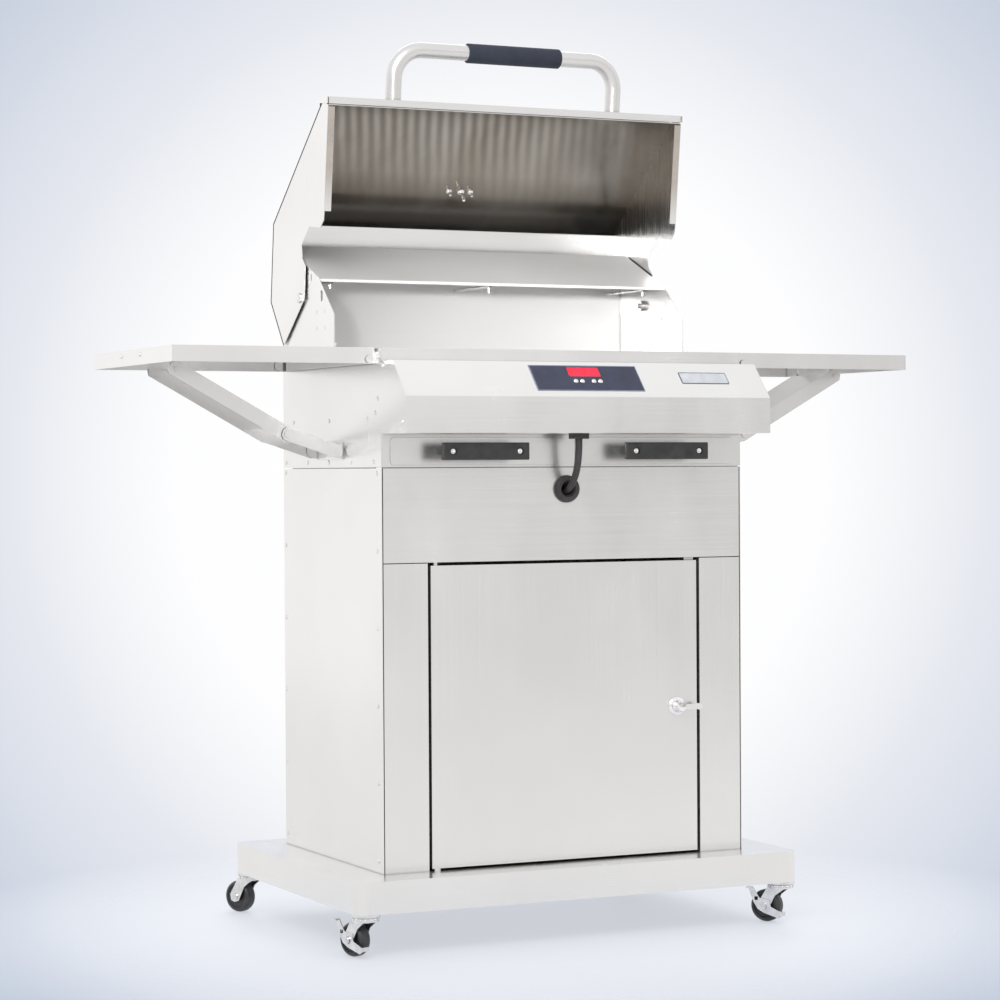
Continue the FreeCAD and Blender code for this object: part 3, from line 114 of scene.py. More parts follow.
class Shader:
    """A material with a Principled shader and short calls for the nodes that feed it."""

    def __init__(self, name):
        self.material = bpy.data.materials.new(name)
        self.material.use_nodes = True
        self.tree = self.material.node_tree
        self.surface = self.tree.nodes["Principled BSDF"]
        self.coordinates = self.add("ShaderNodeTexCoord")

    def add(self, kind):
        return self.tree.nodes.new(kind)

    def link(self, output, target):
        self.tree.links.new(output, target)

    def set(self, **values):
        for key, value in values.items():
            self.surface.inputs[key.replace("_", " ")].default_value = value

    def mapped(self, scale, rotation=(0, 0, 0)):
        mapping = self.add("ShaderNodeMapping")
        mapping.inputs["Scale"].default_value = scale
        mapping.inputs["Rotation"].default_value = rotation
        self.link(self.coordinates.outputs["Object"], mapping.inputs["Vector"])
        return mapping.outputs["Vector"]

    def noise(self, scale, detail=4.0, roughness=0.6, vector=None, distortion=0.0):
        noise = self.add("ShaderNodeTexNoise")
        noise.inputs["Scale"].default_value = scale
        noise.inputs["Detail"].default_value = detail
        noise.inputs["Roughness"].default_value = roughness
        noise.inputs["Distortion"].default_value = distortion
        self.link(vector or self.coordinates.outputs["Object"], noise.inputs["Vector"])
        return noise.outputs["Fac"]

    def ramp(self, value, stops):
        return ramp_node(self.tree, value, stops)

    def span(self, value, low, high, start=0.0, stop=1.0):
        return range_node(self.tree, value, start, stop, low, high)

    def parts(self, output="Object"):
        """X, Y and Z of a coordinate output."""
        split = self.add("ShaderNodeSeparateXYZ")
        self.link(self.coordinates.outputs[output], split.inputs["Vector"])
        return split.outputs["X"], split.outputs["Y"], split.outputs["Z"]

    def math(self, operation, a, b=None):
        node = self.add("ShaderNodeMath")
        node.operation = operation
        for socket, value in zip(node.inputs, (a, b)):
            if value is None:
                continue
            if isinstance(value, (int, float)):
                socket.default_value = value
            else:
                self.link(value, socket)
        return node.outputs[0]

    def mix(self, factor, a, b, blend="MIX"):
        node = self.add("ShaderNodeMix")
        node.data_type = "RGBA"
        node.blend_type = blend
        for name, value in (("Factor", factor), ("A", a), ("B", b)):
            sockets = [s for s in node.inputs if s.name == name and s.enabled]
            if isinstance(value, (int, float)):
                sockets[0].default_value = value
            elif isinstance(value, tuple):
                sockets[0].default_value = (*value, 1.0)
            else:
                self.link(value, sockets[0])
        return [s for s in node.outputs if s.enabled][0]

    def with_crevice_shade(self, colour, reach=0.009):
        """The colour with painted shade: darker in seams and crevices, where the occlusion node finds nearby
        surfaces.
        """
        crevice = self.add("ShaderNodeAmbientOcclusion")
        crevice.samples = 4
        crevice.inputs["Distance"].default_value = reach
        crevice_shade = self.ramp(crevice.outputs["AO"], [(0.12, (0.07, 0.065, 0.06)), (0.62, (1.0, 1.0, 1.0))])
        return self.mix(1.0, colour, crevice_shade, "MULTIPLY")

    def bump(self, height, strength, distance):
        bump = self.add("ShaderNodeBump")
        bump.inputs["Strength"].default_value = strength
        bump.inputs["Distance"].default_value = distance
        self.link(height, bump.inputs["Height"])
        self.link(bump.outputs["Normal"], self.surface.inputs["Normal"])


GRAIN = {"X": (3.0, 900.0, 900.0), "Y": (900.0, 3.0, 900.0), "Z": (900.0, 900.0, 3.0)}


def brushed_steel(name, grain, light=(0.83, 0.825, 0.82), dark=(0.76, 0.755, 0.75), rough=0.22,
                  metallic=0.88):
    """Stainless sheet brushed along one axis, with faint smears, uneven polish and painted shade in its seams
    and crevices.
    """
    shader = Shader(name)
    lines = shader.noise(1.0, 4.0, 0.7, shader.mapped(GRAIN[grain]))
    clouds = shader.noise(3.1, 3.0, 0.55)
    smears = shader.noise(11.0, 5.0, 0.6, shader.mapped((1.0, 1.0, 0.45)), 0.4)
    tone = shader.math("ADD", shader.math("MULTIPLY", clouds, 0.7), shader.math("MULTIPLY", lines, 0.3))
    clean = shader.ramp(tone, [(0.30, dark), (0.70, light)])
    # painted shade darkens the colour in seams and crevices
    shader.link(shader.with_crevice_shade(clean), shader.surface.inputs["Base Color"])
    polish = shader.math("ADD", shader.math("MULTIPLY", smears, 0.6), shader.math("MULTIPLY", lines, 0.4))
    roughness = shader.span(polish, rough - 0.04, rough + 0.08, 0.25, 0.75)
    shader.link(roughness, shader.surface.inputs["Roughness"])
    shader.set(Metallic=metallic)
    shader.bump(lines, 0.05, 0.0002)
    return shader.material


CLEAN_STEEL = [(0.3, (0.76, 0.755, 0.75)), (0.7, (0.83, 0.825, 0.82))]
CEILING_CREASE_SHADE = (1.150, 1.235)   # heights on the open hood's ceiling between which the painted shade at its crease thins out
CEILING_REFLECTED_BARS = (1.185, 1.30)  # and between which the painted reflection of the grate comes up, as stripes
CEILING_FOOT = (1.142, 1.147)    # the ceiling's look starts here
REFLECTED_BAR_PITCH = 0.0205
REFLECTED_BAR_LEAN = 0.52
REFLECTED_BAR_FADE = (0.02, 0.24)       # the painted reflection of the grate fades towards the right
SIDE_SHADE = (0.10, 0.26)        # where the ceiling darkens towards the right


def hood_sheet(name):
    """Brushed outside; inside, a polished ceiling with a soot tint, the grate's reflection painted on as
    stripes, and painted shade at its crease and towards the right.
    """
    shader = Shader(name)
    lines = shader.noise(1.0, 4.0, 0.7, shader.mapped(GRAIN["X"]))
    clouds = shader.noise(3.0, 3.0, 0.55)
    outside = shader.ramp(clouds, CLEAN_STEEL)
    x, _, z = shader.parts()
    soot = shader.noise(5.0, 5.0, 0.62, shader.mapped((1.6, 0.8, 0.8)), 0.6)
    wobble = shader.noise(9.0, 2.0, 0.5)
    # painted reflection of the grate: slanted stripes that darken the ceiling's colour
    along = shader.math("ADD", x, shader.math("MULTIPLY", z, REFLECTED_BAR_LEAN))
    phase = shader.math("ADD", shader.math("MULTIPLY", along, 2 * math.pi / REFLECTED_BAR_PITCH),
                        shader.math("MULTIPLY", wobble, 1.6))
    reflected_bars = shader.span(shader.math("SINE", phase), 0.0, 1.0, -0.9, 0.9)
    strength = shader.span(z, 0.0, 0.42, *CEILING_REFLECTED_BARS)
    fade = shader.span(x, 1.0, 0.25, *REFLECTED_BAR_FADE)
    reflected_bar_depth = shader.math("MULTIPLY", shader.math("MULTIPLY", reflected_bars, strength), fade)
    shade = shader.math("SUBTRACT", 1.0, reflected_bar_depth)
    # painted shade: the ceiling darkens towards its crease
    crease_shade = shader.ramp(shader.span(z, 0.0, 1.0, *CEILING_CREASE_SHADE),
                        [(0.0, (0.09, 0.085, 0.08)), (0.26, (0.16, 0.15, 0.14)), (0.54, (0.62, 0.60, 0.58)),
                         (1.0, (1.0, 1.0, 1.0))])
    tint = shader.ramp(soot, [(0.30, (0.30, 0.27, 0.235)), (0.52, (0.37, 0.345, 0.31)),
                              (0.75, (0.43, 0.41, 0.38))])
    side = shader.span(x, 1.0, 0.42, *SIDE_SHADE)
    inside = shader.mix(1.0, shader.mix(1.0, tint, crease_shade, "MULTIPLY"),
                        shader.math("MULTIPLY", shade, side), "MULTIPLY")
    looking_down = shader.span(shader.parts("Normal")[2], 1.0, 0.0, -0.55, -0.35)
    ceiling = shader.math("MULTIPLY", looking_down, shader.span(z, 0.0, 1.0, *CEILING_FOOT))
    shader.link(shader.mix(ceiling, outside, inside), shader.surface.inputs["Base Color"])
    rough_out = shader.span(lines, 0.18, 0.28, 0.3, 0.7)
    rough_in = shader.span(soot, 0.12, 0.24, 0.3, 0.7)
    roughness = shader.math("ADD", shader.math("MULTIPLY", rough_in, ceiling),
                            shader.math("MULTIPLY", rough_out, shader.math("SUBTRACT", 1.0, ceiling)))
    shader.link(roughness, shader.surface.inputs["Roughness"])
    shader.set(Metallic=1.0)
    shader.bump(lines, 0.02, 0.0002)
    return shader.material


PLATE_MIDDLE = 0.3209            # halfway through the hood plates' thickness
BROWN_RISE = (1.165, 1.225)      # heights between which the browning comes up


def hood_plate(name):
    """Brushed end plate of the hood; its inner face is browned by heat towards the ceiling."""
    shader = Shader(name)
    lines = shader.noise(1.0, 4.0, 0.7, shader.mapped(GRAIN["Z"]))
    clouds = shader.noise(3.1, 3.0, 0.55)
    clean = shader.ramp(clouds, CLEAN_STEEL)
    soot = shader.noise(7.0, 5.0, 0.6, None, 0.5)
    brown = shader.ramp(soot, [(0.3, (0.46, 0.415, 0.37)), (0.7, (0.62, 0.575, 0.53))])
    x, y, z = shader.parts()
    within = shader.math("LESS_THAN", shader.math("ABSOLUTE", x), PLATE_MIDDLE)
    high = shader.span(shader.math("ADD", z, shader.math("MULTIPLY", y, 0.25)), 0.0, 1.0, *BROWN_RISE)
    heat = shader.math("MULTIPLY", within, high)
    shader.link(shader.mix(heat, clean, brown), shader.surface.inputs["Base Color"])
    shader.link(shader.span(lines, 0.18, 0.30, 0.3, 0.7), shader.surface.inputs["Roughness"])
    shader.set(Metallic=1.0)
    shader.bump(lines, 0.05, 0.0002)
    return shader.material


def plated(name, light, dark, rough):
    """Bright plate with faint clouding and tiny pits."""
    shader = Shader(name)
    clouds = shader.noise(60.0, 4.0, 0.6)
    pits = shader.noise(900.0, 2.0, 0.5)
    shader.link(shader.ramp(clouds, [(0.3, dark), (0.65, light)]), shader.surface.inputs["Base Color"])
    shader.link(shader.span(clouds, rough - 0.03, rough + 0.08, 0.3, 0.7), shader.surface.inputs["Roughness"])
    shader.set(Metallic=1.0)
    shader.bump(pits, 0.05, 0.0002)
    return shader.material


def moulded(name, light, dark, rough, grain=700.0, strength=0.25):
    """Moulded plastic or rubber with a fine surface texture and dust in its hollows."""
    shader = Shader(name)
    dust = shader.noise(40.0, 5.0, 0.65)
    texture = shader.noise(grain, 3.0, 0.55)
    shader.link(shader.ramp(dust, [(0.35, dark), (0.72, light)]), shader.surface.inputs["Base Color"])
    shader.link(shader.span(dust, rough - 0.06, rough + 0.1, 0.3, 0.7), shader.surface.inputs["Roughness"])
    shader.bump(texture, strength, 0.0004)
    return shader.material


def foam(name):
    """Closed-cell foam sleeve, blue-black with fine cells."""
    shader = Shader(name)
    cells = shader.add("ShaderNodeTexVoronoi")
    cells.inputs["Scale"].default_value = 900.0
    shader.link(shader.coordinates.outputs["Object"], cells.inputs["Vector"])
    wear = shader.noise(26.0, 4.0, 0.6)
    shader.link(shader.ramp(wear, [(0.3, (0.012, 0.017, 0.032)), (0.75, (0.028, 0.036, 0.060))]),
                shader.surface.inputs["Base Color"])
    shader.link(shader.span(wear, 0.62, 0.82), shader.surface.inputs["Roughness"])
    shader.bump(cells.outputs["Distance"], 0.35, 0.0005)
    return shader.material


def heat_sheath(name):
    """Oxidised sheath of a heating element."""
    shader = Shader(name)
    patches = shader.noise(24.0, 5.0, 0.65)
    shader.link(shader.ramp(patches, [(0.3, (0.035, 0.032, 0.030)), (0.7, (0.12, 0.10, 0.09))]),
                shader.surface.inputs["Base Color"])
    shader.link(shader.span(patches, 0.45, 0.75), shader.surface.inputs["Roughness"])
    shader.set(Metallic=0.4)
    shader.bump(patches, 0.2, 0.0003)
    return shader.material


SLOPE_LOW, SLOPE_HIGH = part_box("control_membrane")
SLOPE_RUN = SLOPE_HIGH.y - SLOPE_LOW.y
SLOPE_RISE = SLOPE_HIGH.z - SLOPE_LOW.z
SLOPE_ANGLE = math.atan2(SLOPE_RISE, SLOPE_RUN)


def slope_point(x, down, out=0.0):
    """A point on the control box's slope, given down from the overlay's upper edge, in metres."""
    along = Vector((0, -math.cos(SLOPE_ANGLE), -math.sin(SLOPE_ANGLE)))
    outward = Vector((0, -math.sin(SLOPE_ANGLE), math.cos(SLOPE_ANGLE)))
    return Vector((x, SLOPE_HIGH.y, SLOPE_HIGH.z)) + along * down + outward * out


OVERLAY_RIM = 0.0016
OVERLAY_RIM_RISE = 0.0014


def printed_overlay(name):
    """Dark blue printed overlay: thin sheet with a satin surface and a paler rim."""
    shader = Shader(name)
    x, _, z = shader.parts()
    from_middle = shader.math("ABSOLUTE", shader.math("SUBTRACT", x, (SLOPE_LOW.x + SLOPE_HIGH.x) / 2))
    half = (SLOPE_HIGH.x - SLOPE_LOW.x) / 2
    on_side = shader.math("GREATER_THAN", from_middle, half - OVERLAY_RIM)
    from_centre = shader.math("ABSOLUTE", shader.math("SUBTRACT", z, (SLOPE_LOW.z + SLOPE_HIGH.z) / 2))
    on_end = shader.math("GREATER_THAN", from_centre, SLOPE_RISE / 2 - OVERLAY_RIM_RISE)
    rim = shader.math("MAXIMUM", on_side, on_end)
    base = shader.ramp(shader.noise(50.0, 4.0), [(0.3, (0.012, 0.015, 0.034)), (0.7, (0.022, 0.027, 0.056))])
    shader.link(shader.mix(shader.math("MULTIPLY", rim, 0.5), base, (0.30, 0.32, 0.40)),
                shader.surface.inputs["Base Color"])
    shader.link(shader.span(shader.noise(90.0), 0.24, 0.38), shader.surface.inputs["Roughness"])
    shader.bump(shader.noise(1500.0, 2.0), 0.06, 0.0002)
    return shader.material


def lit_display(name):
    """Red filter with the glow of the display behind it."""
    shader = Shader(name)
    glow = shader.noise(95.0, 2.0, 0.5)
    red = shader.ramp(glow, [(0.3, (0.50, 0.003, 0.022)), (0.7, (0.72, 0.008, 0.040))])
    shader.link(red, shader.surface.inputs["Base Color"])
    shader.link(red, shader.surface.inputs["Emission Color"])
    shader.set(Emission_Strength=0.45, Roughness=0.16)
    shader.bump(shader.noise(1200.0, 2.0), 0.04, 0.0002)
    return shader.material


def board_green(name):
    """Green lacquered circuit board with tracks under the lacquer."""
    shader = Shader(name)
    tracks = shader.noise(160.0, 3.0, 0.5, shader.mapped((1.0, 3.0, 3.0)))
    shader.link(shader.ramp(tracks, [(0.45, (0.010, 0.090, 0.045)), (0.55, (0.030, 0.200, 0.090))]),
                shader.surface.inputs["Base Color"])
    shader.link(shader.span(tracks, 0.35, 0.55), shader.surface.inputs["Roughness"])
    shader.bump(tracks, 0.2, 0.0002)
    return shader.material


PLATE_X = 0.2115
PLATE_DOWN = 0.0250              # its middle, below the overlay's upper edge along the slope
PLATE_WIDTH = 0.086
PLATE_HEIGHT = 0.0245
PLATE_RIM = 0.0016
PLATE_THICKNESS = 0.0012
PLATE_SUNK = 0.0008              # the overlay's thickness: the slope itself lies this much lower
PLATE_CORNER = 0.002


def plain_plate(name, light, dark, rim_colour):
    """Painted plate without any mark, with a thin dark rim."""
    shader = Shader(name)
    x, _, z = shader.parts()
    sideways = shader.math("ABSOLUTE", shader.math("SUBTRACT", x, PLATE_X))
    upwards = shader.math("ABSOLUTE", shader.math("SUBTRACT", z, slope_point(PLATE_X, PLATE_DOWN).z))
    half_rise = PLATE_HEIGHT / 2 * math.sin(SLOPE_ANGLE)
    rim = shader.math("MAXIMUM", shader.math("GREATER_THAN", sideways, PLATE_WIDTH / 2 - PLATE_RIM),
                      shader.math("GREATER_THAN", upwards, half_rise - PLATE_RIM * math.sin(SLOPE_ANGLE)))
    face = shader.ramp(shader.noise(70.0, 4.0), [(0.3, dark), (0.7, light)])
    shader.link(shader.mix(rim, face, rim_colour), shader.surface.inputs["Base Color"])
    shader.link(shader.span(shader.noise(130.0), 0.28, 0.42), shader.surface.inputs["Roughness"])
    shader.bump(shader.noise(1400.0, 2.0), 0.05, 0.0002)
    return shader.material


STEEL_X = brushed_steel("steel_grain_x", "X")
STEEL_Y = brushed_steel("steel_grain_y", "Y")
STEEL_Z = brushed_steel("steel_grain_z", "Z")
STEEL_TUBE = brushed_steel("satin_tube", "X", (0.74, 0.735, 0.73), (0.66, 0.655, 0.65), 0.27)
STEEL_SATIN = brushed_steel("satin_steel", "X", (0.86, 0.855, 0.85), (0.80, 0.795, 0.79), 0.40, 0.55)
STEEL_HEATED = brushed_steel("heated_steel", "X", (0.46, 0.41, 0.36), (0.30, 0.26, 0.22), 0.30)
WIRE = plated("drawn_wire", (0.80, 0.80, 0.79), (0.66, 0.66, 0.65), 0.22)
ZINC = plated("bright_zinc", (0.82, 0.82, 0.82), (0.60, 0.60, 0.61), 0.20)
CHROME = plated("polished_chrome", (0.90, 0.90, 0.91), (0.80, 0.80, 0.81), 0.08)
HANDLE_BLACK = moulded("handle_black", (0.045, 0.045, 0.047), (0.018, 0.018, 0.019), 0.46)
WHEEL_BLACK = moulded("wheel_black", (0.050, 0.050, 0.052), (0.010, 0.010, 0.011), 0.38, 420.0)
# dark strips that stand for the shade in the hood plates' seams: painted shade
SEAM_SHADE_DARK = moulded("painted_seam_shade", (0.060, 0.058, 0.056), (0.025, 0.024, 0.024), 0.60)
RUBBER = moulded("dull_rubber", (0.060, 0.058, 0.058), (0.022, 0.021, 0.021), 0.55)
FOAM = foam("grip_foam")
SHEATH = heat_sheath("element_sheath")
OVERLAY = printed_overlay("overlay_print")
DISPLAY = lit_display("display_glow")
BOARD = board_green("board_lacquer")
PALE_PLATE = plain_plate("pale_plate", (0.50, 0.52, 0.55), (0.40, 0.42, 0.45), (0.10, 0.11, 0.14))


def finish_nodes():
    """Gives every CAD node its finish."""
    finishes = {name: STEEL_Z for name in NODES}
    along_x = ("base_platform", "upper_front_panel", "body_front_frame", "control_box",
               "hood_front_trim", "left_drip_tray", "right_drip_tray")
    bare_wire = ("cooking_grate", "rack_arms", "panel_screws", "pivot_pins")
    groups = [(along_x, STEEL_X), (("left_shelf", "right_shelf", "tray_runners"), STEEL_Y),
              (("firebox_liner", "element_reflector"), STEEL_HEATED),
              (("rear_cover", "back_panels"), STEEL_SATIN),
              (("hood_shell",), hood_sheet("hood_sheet")), (("hood_side_plates",), hood_plate("hood_plate")),
              (("hood_handle",), STEEL_TUBE), (bare_wire, WIRE), (("heating_element",), SHEATH),
              (("control_membrane",), OVERLAY), (("display_window",), DISPLAY),
              (("controller_board",), BOARD), (("handle_grip",), FOAM),
              (("latch_rosette", "latch_lever", "hood_thermometer"), CHROME),
              (("left_tray_handle", "right_tray_handle", "cord_gland"), HANDLE_BLACK),
              (("cord_grommet", "power_cord", "cord_coil", "power_plug"), RUBBER)]
    for names, material in groups:
        for name in names:
            finishes[name] = material
    for name in NODES:
        if name.startswith(("caster_fork", "caster_brake", "caster_plates")):
            finishes[name] = ZINC
        elif name.startswith("caster_wheel"):
            finishes[name] = WHEEL_BLACK
        elif name.startswith("control_button"):
            finishes[name] = CHROME
    for name, material in finishes.items():
        slots = NODES[name].data.materials
        if not slots:
            slots.append(material)
        for i in range(len(slots)):
            slots[i] = material


# ---------------------------------------------------------------- mesh helpers
def new_piece(name, mesh, material, body, smooth=True):
    """Puts a mesh in the scene, riding a body."""
    piece = bpy.data.objects.new(name, mesh)
    bpy.context.scene.collection.objects.link(piece)
    mesh.materials.append(material)
    for face in mesh.polygons:
        face.use_smooth = smooth
    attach(piece, body)
    return piece


def lathe_into(build, profile, centre, axis, steps=24):
    """Adds a profile of (radius, height) points turned about an axis through centre; ends are closed."""
    turn = Vector((0, 0, 1)).rotation_difference(Vector(axis)).to_matrix()
    rings = []
    for radius, height in profile:
        ring = []
        for i in range(steps):
            angle = 2 * math.pi * i / steps
            point = turn @ Vector((radius * math.cos(angle), radius * math.sin(angle), height))
            ring.append(build.verts.new(Vector(centre) + point))
        rings.append(ring)
    for low, high in zip(rings, rings[1:]):
        for i in range(steps):
            j = (i + 1) % steps
            build.faces.new((low[i], low[j], high[j], high[i]))
    build.faces.new(rings[0][::-1])
    build.faces.new(rings[-1])


def mesh_from(build, name):
    bmesh.ops.recalc_face_normals(build, faces=build.faces)
    mesh = bpy.data.meshes.new(name)
    build.to_mesh(mesh)
    build.free()
    return mesh


SCREW_PROFILE = [(0.0042, 0.0), (0.0042, 0.0006), (0.0036, 0.0016), (0.0022, 0.0024), (0.0008, 0.0027)]


def screws(name, places, axis, body, scale=1.0, material=None):
    """Domed screw heads at the places, all facing axis."""
    build = bmesh.new()
    profile = [(radius * scale, height * scale) for radius, height in SCREW_PROFILE]
    for spot in places:
        lathe_into(build, profile, spot, axis, 16)
    return new_piece(name, mesh_from(build, name), material or WIRE, body)


# ---------------------------------------------------------------- power cord
CORD_DIAMETER = 0.011
CORD_ROUTE = [(0, -45, 785.5), (0, -45, 753.5), (1, -24, 715.5), (3, 28, 692), (8, 62, 650), (14, 76, 590),
              (6, 82, 502), (-10, 78, 404), (-6, 90, 304), (9, 104, 217), (25, 140, 161),
              (37, 180, 131), (43, 222, 123), (44, 255, 122.7)]
COIL_CENTRE = (110.0, 255.0)
COIL_TURNS = 2.5
POINTS_PER_TURN = 14
PLUG_LEAD = [(170.5, 241, 132.4), (170.5, 226, 131.2)]


def step(value, start, stop):
    """0 before start, 1 after stop, smooth between."""
    t = min(1.0, max(0.0, (value - start) / (stop - start)))
    return t * t * (3 - 2 * t)


def coil_points():
    """Two turns side by side on the cabinet floor and the last one lying on them."""
    points = []
    count = int(COIL_TURNS * POINTS_PER_TURN)
    for i in range(1, count + 1):
        turn = i / POINTS_PER_TURN
        radius = 66.0 - 11.0 * step(turn, 0.72, 1.0) + 5.5 * step(turn, 1.76, 2.02)
        height = 5.7 + 11.2 * step(turn, 1.46, 1.76) - 1.0 * step(turn, 2.05, 2.3)
        angle = math.pi - 2 * math.pi * turn
        points.append((COIL_CENTRE[0] + radius * math.cos(angle), COIL_CENTRE[1] + radius * math.sin(angle),
                       117.0 + height))
    return points


def make_cord():
    """Mains cord from the gland through the cabinet to its coil and plug, as one curve."""
    curve = bpy.data.curves.new("mains_cord", "CURVE")
    curve.dimensions = "3D"
    curve.bevel_depth = CORD_DIAMETER / 2
    curve.bevel_resolution = 6
    curve.resolution_u = 8
    points = CORD_ROUTE + coil_points() + PLUG_LEAD
    spline = curve.splines.new("NURBS")
    spline.points.add(len(points) - 1)
    for point, spot in zip(spline.points, points):
        point.co = (*place(*spot), 1.0)
    spline.order_u = 3
    spline.use_endpoint_u = True
    cord = bpy.data.objects.new("mains_cord", curve)
    bpy.context.scene.collection.objects.link(cord)
    curve.materials.append(RUBBER)
    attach(cord, "root")
    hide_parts("power_cord", "cord_coil")


# ---------------------------------------------------------------- small fittings
def rounded_slab_into(build, centre, right, up, width, height, thickness, radius, steps=5):
    """Adds a flat plate with rounded corners and a small edge bevel."""
    outward = right.cross(up).normalized()
    outlines = []
    edge = min(0.0004, thickness * 0.4)
    for inset, lift in ((0.0, 0.0), (0.0, thickness - edge), (edge, thickness)):
        ring = []
        for sx, sy, start in ((1, 1, 0), (-1, 1, 90), (-1, -1, 180), (1, -1, 270)):
            cx = sx * (width / 2 - radius)
            cy = sy * (height / 2 - radius)
            for i in range(steps + 1):
                angle = math.radians(start + 90 * i / steps)
                x = cx + (radius - inset) * math.cos(angle)
                y = cy + (radius - inset) * math.sin(angle)
                ring.append(build.verts.new(centre + right * x + up * y + outward * lift))
        outlines.append(ring)
    for low, high in zip(outlines, outlines[1:]):
        for i in range(len(low)):
            j = (i + 1) % len(low)
            build.faces.new((low[i], low[j], high[j], high[i]))
    build.faces.new(outlines[0][::-1])
    build.faces.new(outlines[-1])


def make_slope_plate():
    """Small plain plate on the slope, right of the overlay."""
    build = bmesh.new()
    right = Vector((1, 0, 0))
    up = Vector((0, math.cos(SLOPE_ANGLE), math.sin(SLOPE_ANGLE)))
    centre = slope_point(PLATE_X, PLATE_DOWN, -PLATE_SUNK)
    rounded_slab_into(build, centre, right, up, PLATE_WIDTH, PLATE_HEIGHT, PLATE_THICKNESS, PLATE_CORNER)
    new_piece("slope_plate", mesh_from(build, "slope_plate"), PALE_PLATE, "root", False)


HANDLE_SCREW_ASIDE = 0.057
HANDLE_RECESS = 0.0041
SOCKET_SCREW = [(0.0045, 0.0), (0.0045, 0.0020), (0.0040, 0.0026), (0.0024, 0.0026), (0.0022, 0.0010),
                (0.0004, 0.0008)]


def make_handle_screws():
    """Socket screws at the bottom of the tray handles' recesses."""
    for side in ("left", "right"):
        low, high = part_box(side + "_tray_handle")
        middle = (low + high) / 2
        build = bmesh.new()
        for dx in (-HANDLE_SCREW_ASIDE, HANDLE_SCREW_ASIDE):
            spot = Vector((middle.x + dx, low.y + HANDLE_RECESS, middle.z))
            lathe_into(build, SOCKET_SCREW, spot, (0, -1, 0), 20)
        name = side + "_handle_screws"
        new_piece(name, mesh_from(build, name), CHROME, "tray_" + side)


STEM_ASIDE = 0.3655
STEM_FRONT = -0.042
STEM_REAR = 0.450
BALLS = 16
BALL_CIRCLE = 0.0208
BALL_HEIGHT = 0.0603
BALL_RADIUS = 0.00155


def make_ball_races():
    """Ball ring between the upper race and the fork of each caster."""
    for corner in ("fl", "fr", "rl", "rr"):
        x = -STEM_ASIDE if corner[1] == "l" else STEM_ASIDE
        y = FRONT_Y + (STEM_FRONT if corner[0] == "f" else STEM_REAR)
        build = bmesh.new()
        for i in range(BALLS):
            angle = 2 * math.pi * i / BALLS
            spot = (x + BALL_CIRCLE * math.cos(angle), y + BALL_CIRCLE * math.sin(angle), BALL_HEIGHT)
            bmesh.ops.create_icosphere(build, subdivisions=2, radius=BALL_RADIUS,
                                       matrix=Matrix.Translation(spot))
        name = "ball_ring_" + corner
        new_piece(name, mesh_from(build, name), CHROME, "swivel_" + corner)


HOOD_PIVOT = (326.0, 1020.0)
HOOD_OPEN_ANGLE = math.radians(-83.2)
HOOD_EDGE = [(5.0, 951.0), (210.0, 1151.5), (341.5, 1150.0), (409.0, 1084.5)]    # outline when shut
# the dark strips along the hood plates' edges, which paint the shade in their seams
SEAM_SHADE_INSET = 0.1
SEAM_SHADE_WIDTH = 2.2
SEAM_SHADE_SUNK = 0.1
SEAM_SHADE_LIFT = 0.35


def opened(y, z):
    """Where a point of the shut hood's outline lies with the hood open."""
    y, z = y - HOOD_PIVOT[0], z - HOOD_PIVOT[1]
    cosine, sine = math.cos(HOOD_OPEN_ANGLE), math.sin(HOOD_OPEN_ANGLE)
    return Vector((HOOD_PIVOT[0] + y * cosine - z * sine, HOOD_PIVOT[1] + y * sine + z * cosine))


def make_hood_seam_shade():
    """Painted shade of the seam along the edge of each hood plate, as dark flat strips."""
    turned = [opened(y, z) for y, z in HOOD_EDGE]
    low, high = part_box("hood_side_plates")
    for side, face in (("left", low.x), ("right", high.x)):
        out = -1 if side == "left" else 1
        build = bmesh.new()
        for start, stop in zip(turned, turned[1:]):
            along = (stop - start).normalized()
            inward = Vector((along.y, -along.x))
            if inward.dot(Vector(HOOD_PIVOT) - start) < 0:
                inward = -inward
            first = start + along * 2 * SEAM_SHADE_INSET
            last = stop - along * SEAM_SHADE_INSET
            corners = (first + inward * SEAM_SHADE_INSET, last + inward * SEAM_SHADE_INSET,
                       last + inward * SEAM_SHADE_WIDTH, first + inward * SEAM_SHADE_WIDTH)
            rings = []
            for lift in (-SEAM_SHADE_SUNK, SEAM_SHADE_LIFT):
                rings.append([build.verts.new(place(face / MM + out * lift, *corner)) for corner in corners])
            for i in range(4):
                j = (i + 1) % 4
                build.faces.new((rings[0][i], rings[0][j], rings[1][j], rings[1][i]))
            build.faces.new(rings[0][::-1])
            build.faces.new(rings[1])
        name = "hood_seam_shade_" + side
        new_piece(name, mesh_from(build, name), SEAM_SHADE_DARK, "hood", False)


SHELF_SCREW_PLACES = (164, 254)
BOX_SCREW_PLACES = ((-8.9, 897.5), (-82.0, 811.0))


def make_shelf_screws():
    """Two screws in the outer edge of each shelf."""
    for side, sign in (("left", -1), ("right", 1)):
        low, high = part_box(side + "_shelf")
        edge = high.x if sign > 0 else low.x
        spots = [Vector((edge, FRONT_Y + y * MM, high.z - 0.009)) for y in SHELF_SCREW_PLACES]
        screws(side + "_shelf_screws", spots, (sign, 0, 0), "shelf_" + side, 0.8)


def make_control_box_screws():
    """Two screws in each end of the control box."""
    low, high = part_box("control_box")
    for side, x in ((-1, low.x), (1, high.x)):
        name = "box_screws_" + ("left" if side < 0 else "right")
        spots = [place(x / MM, y, z) for y, z in BOX_SCREW_PLACES]
        screws(name, spots, (side, 0, 0), "root", 0.9)


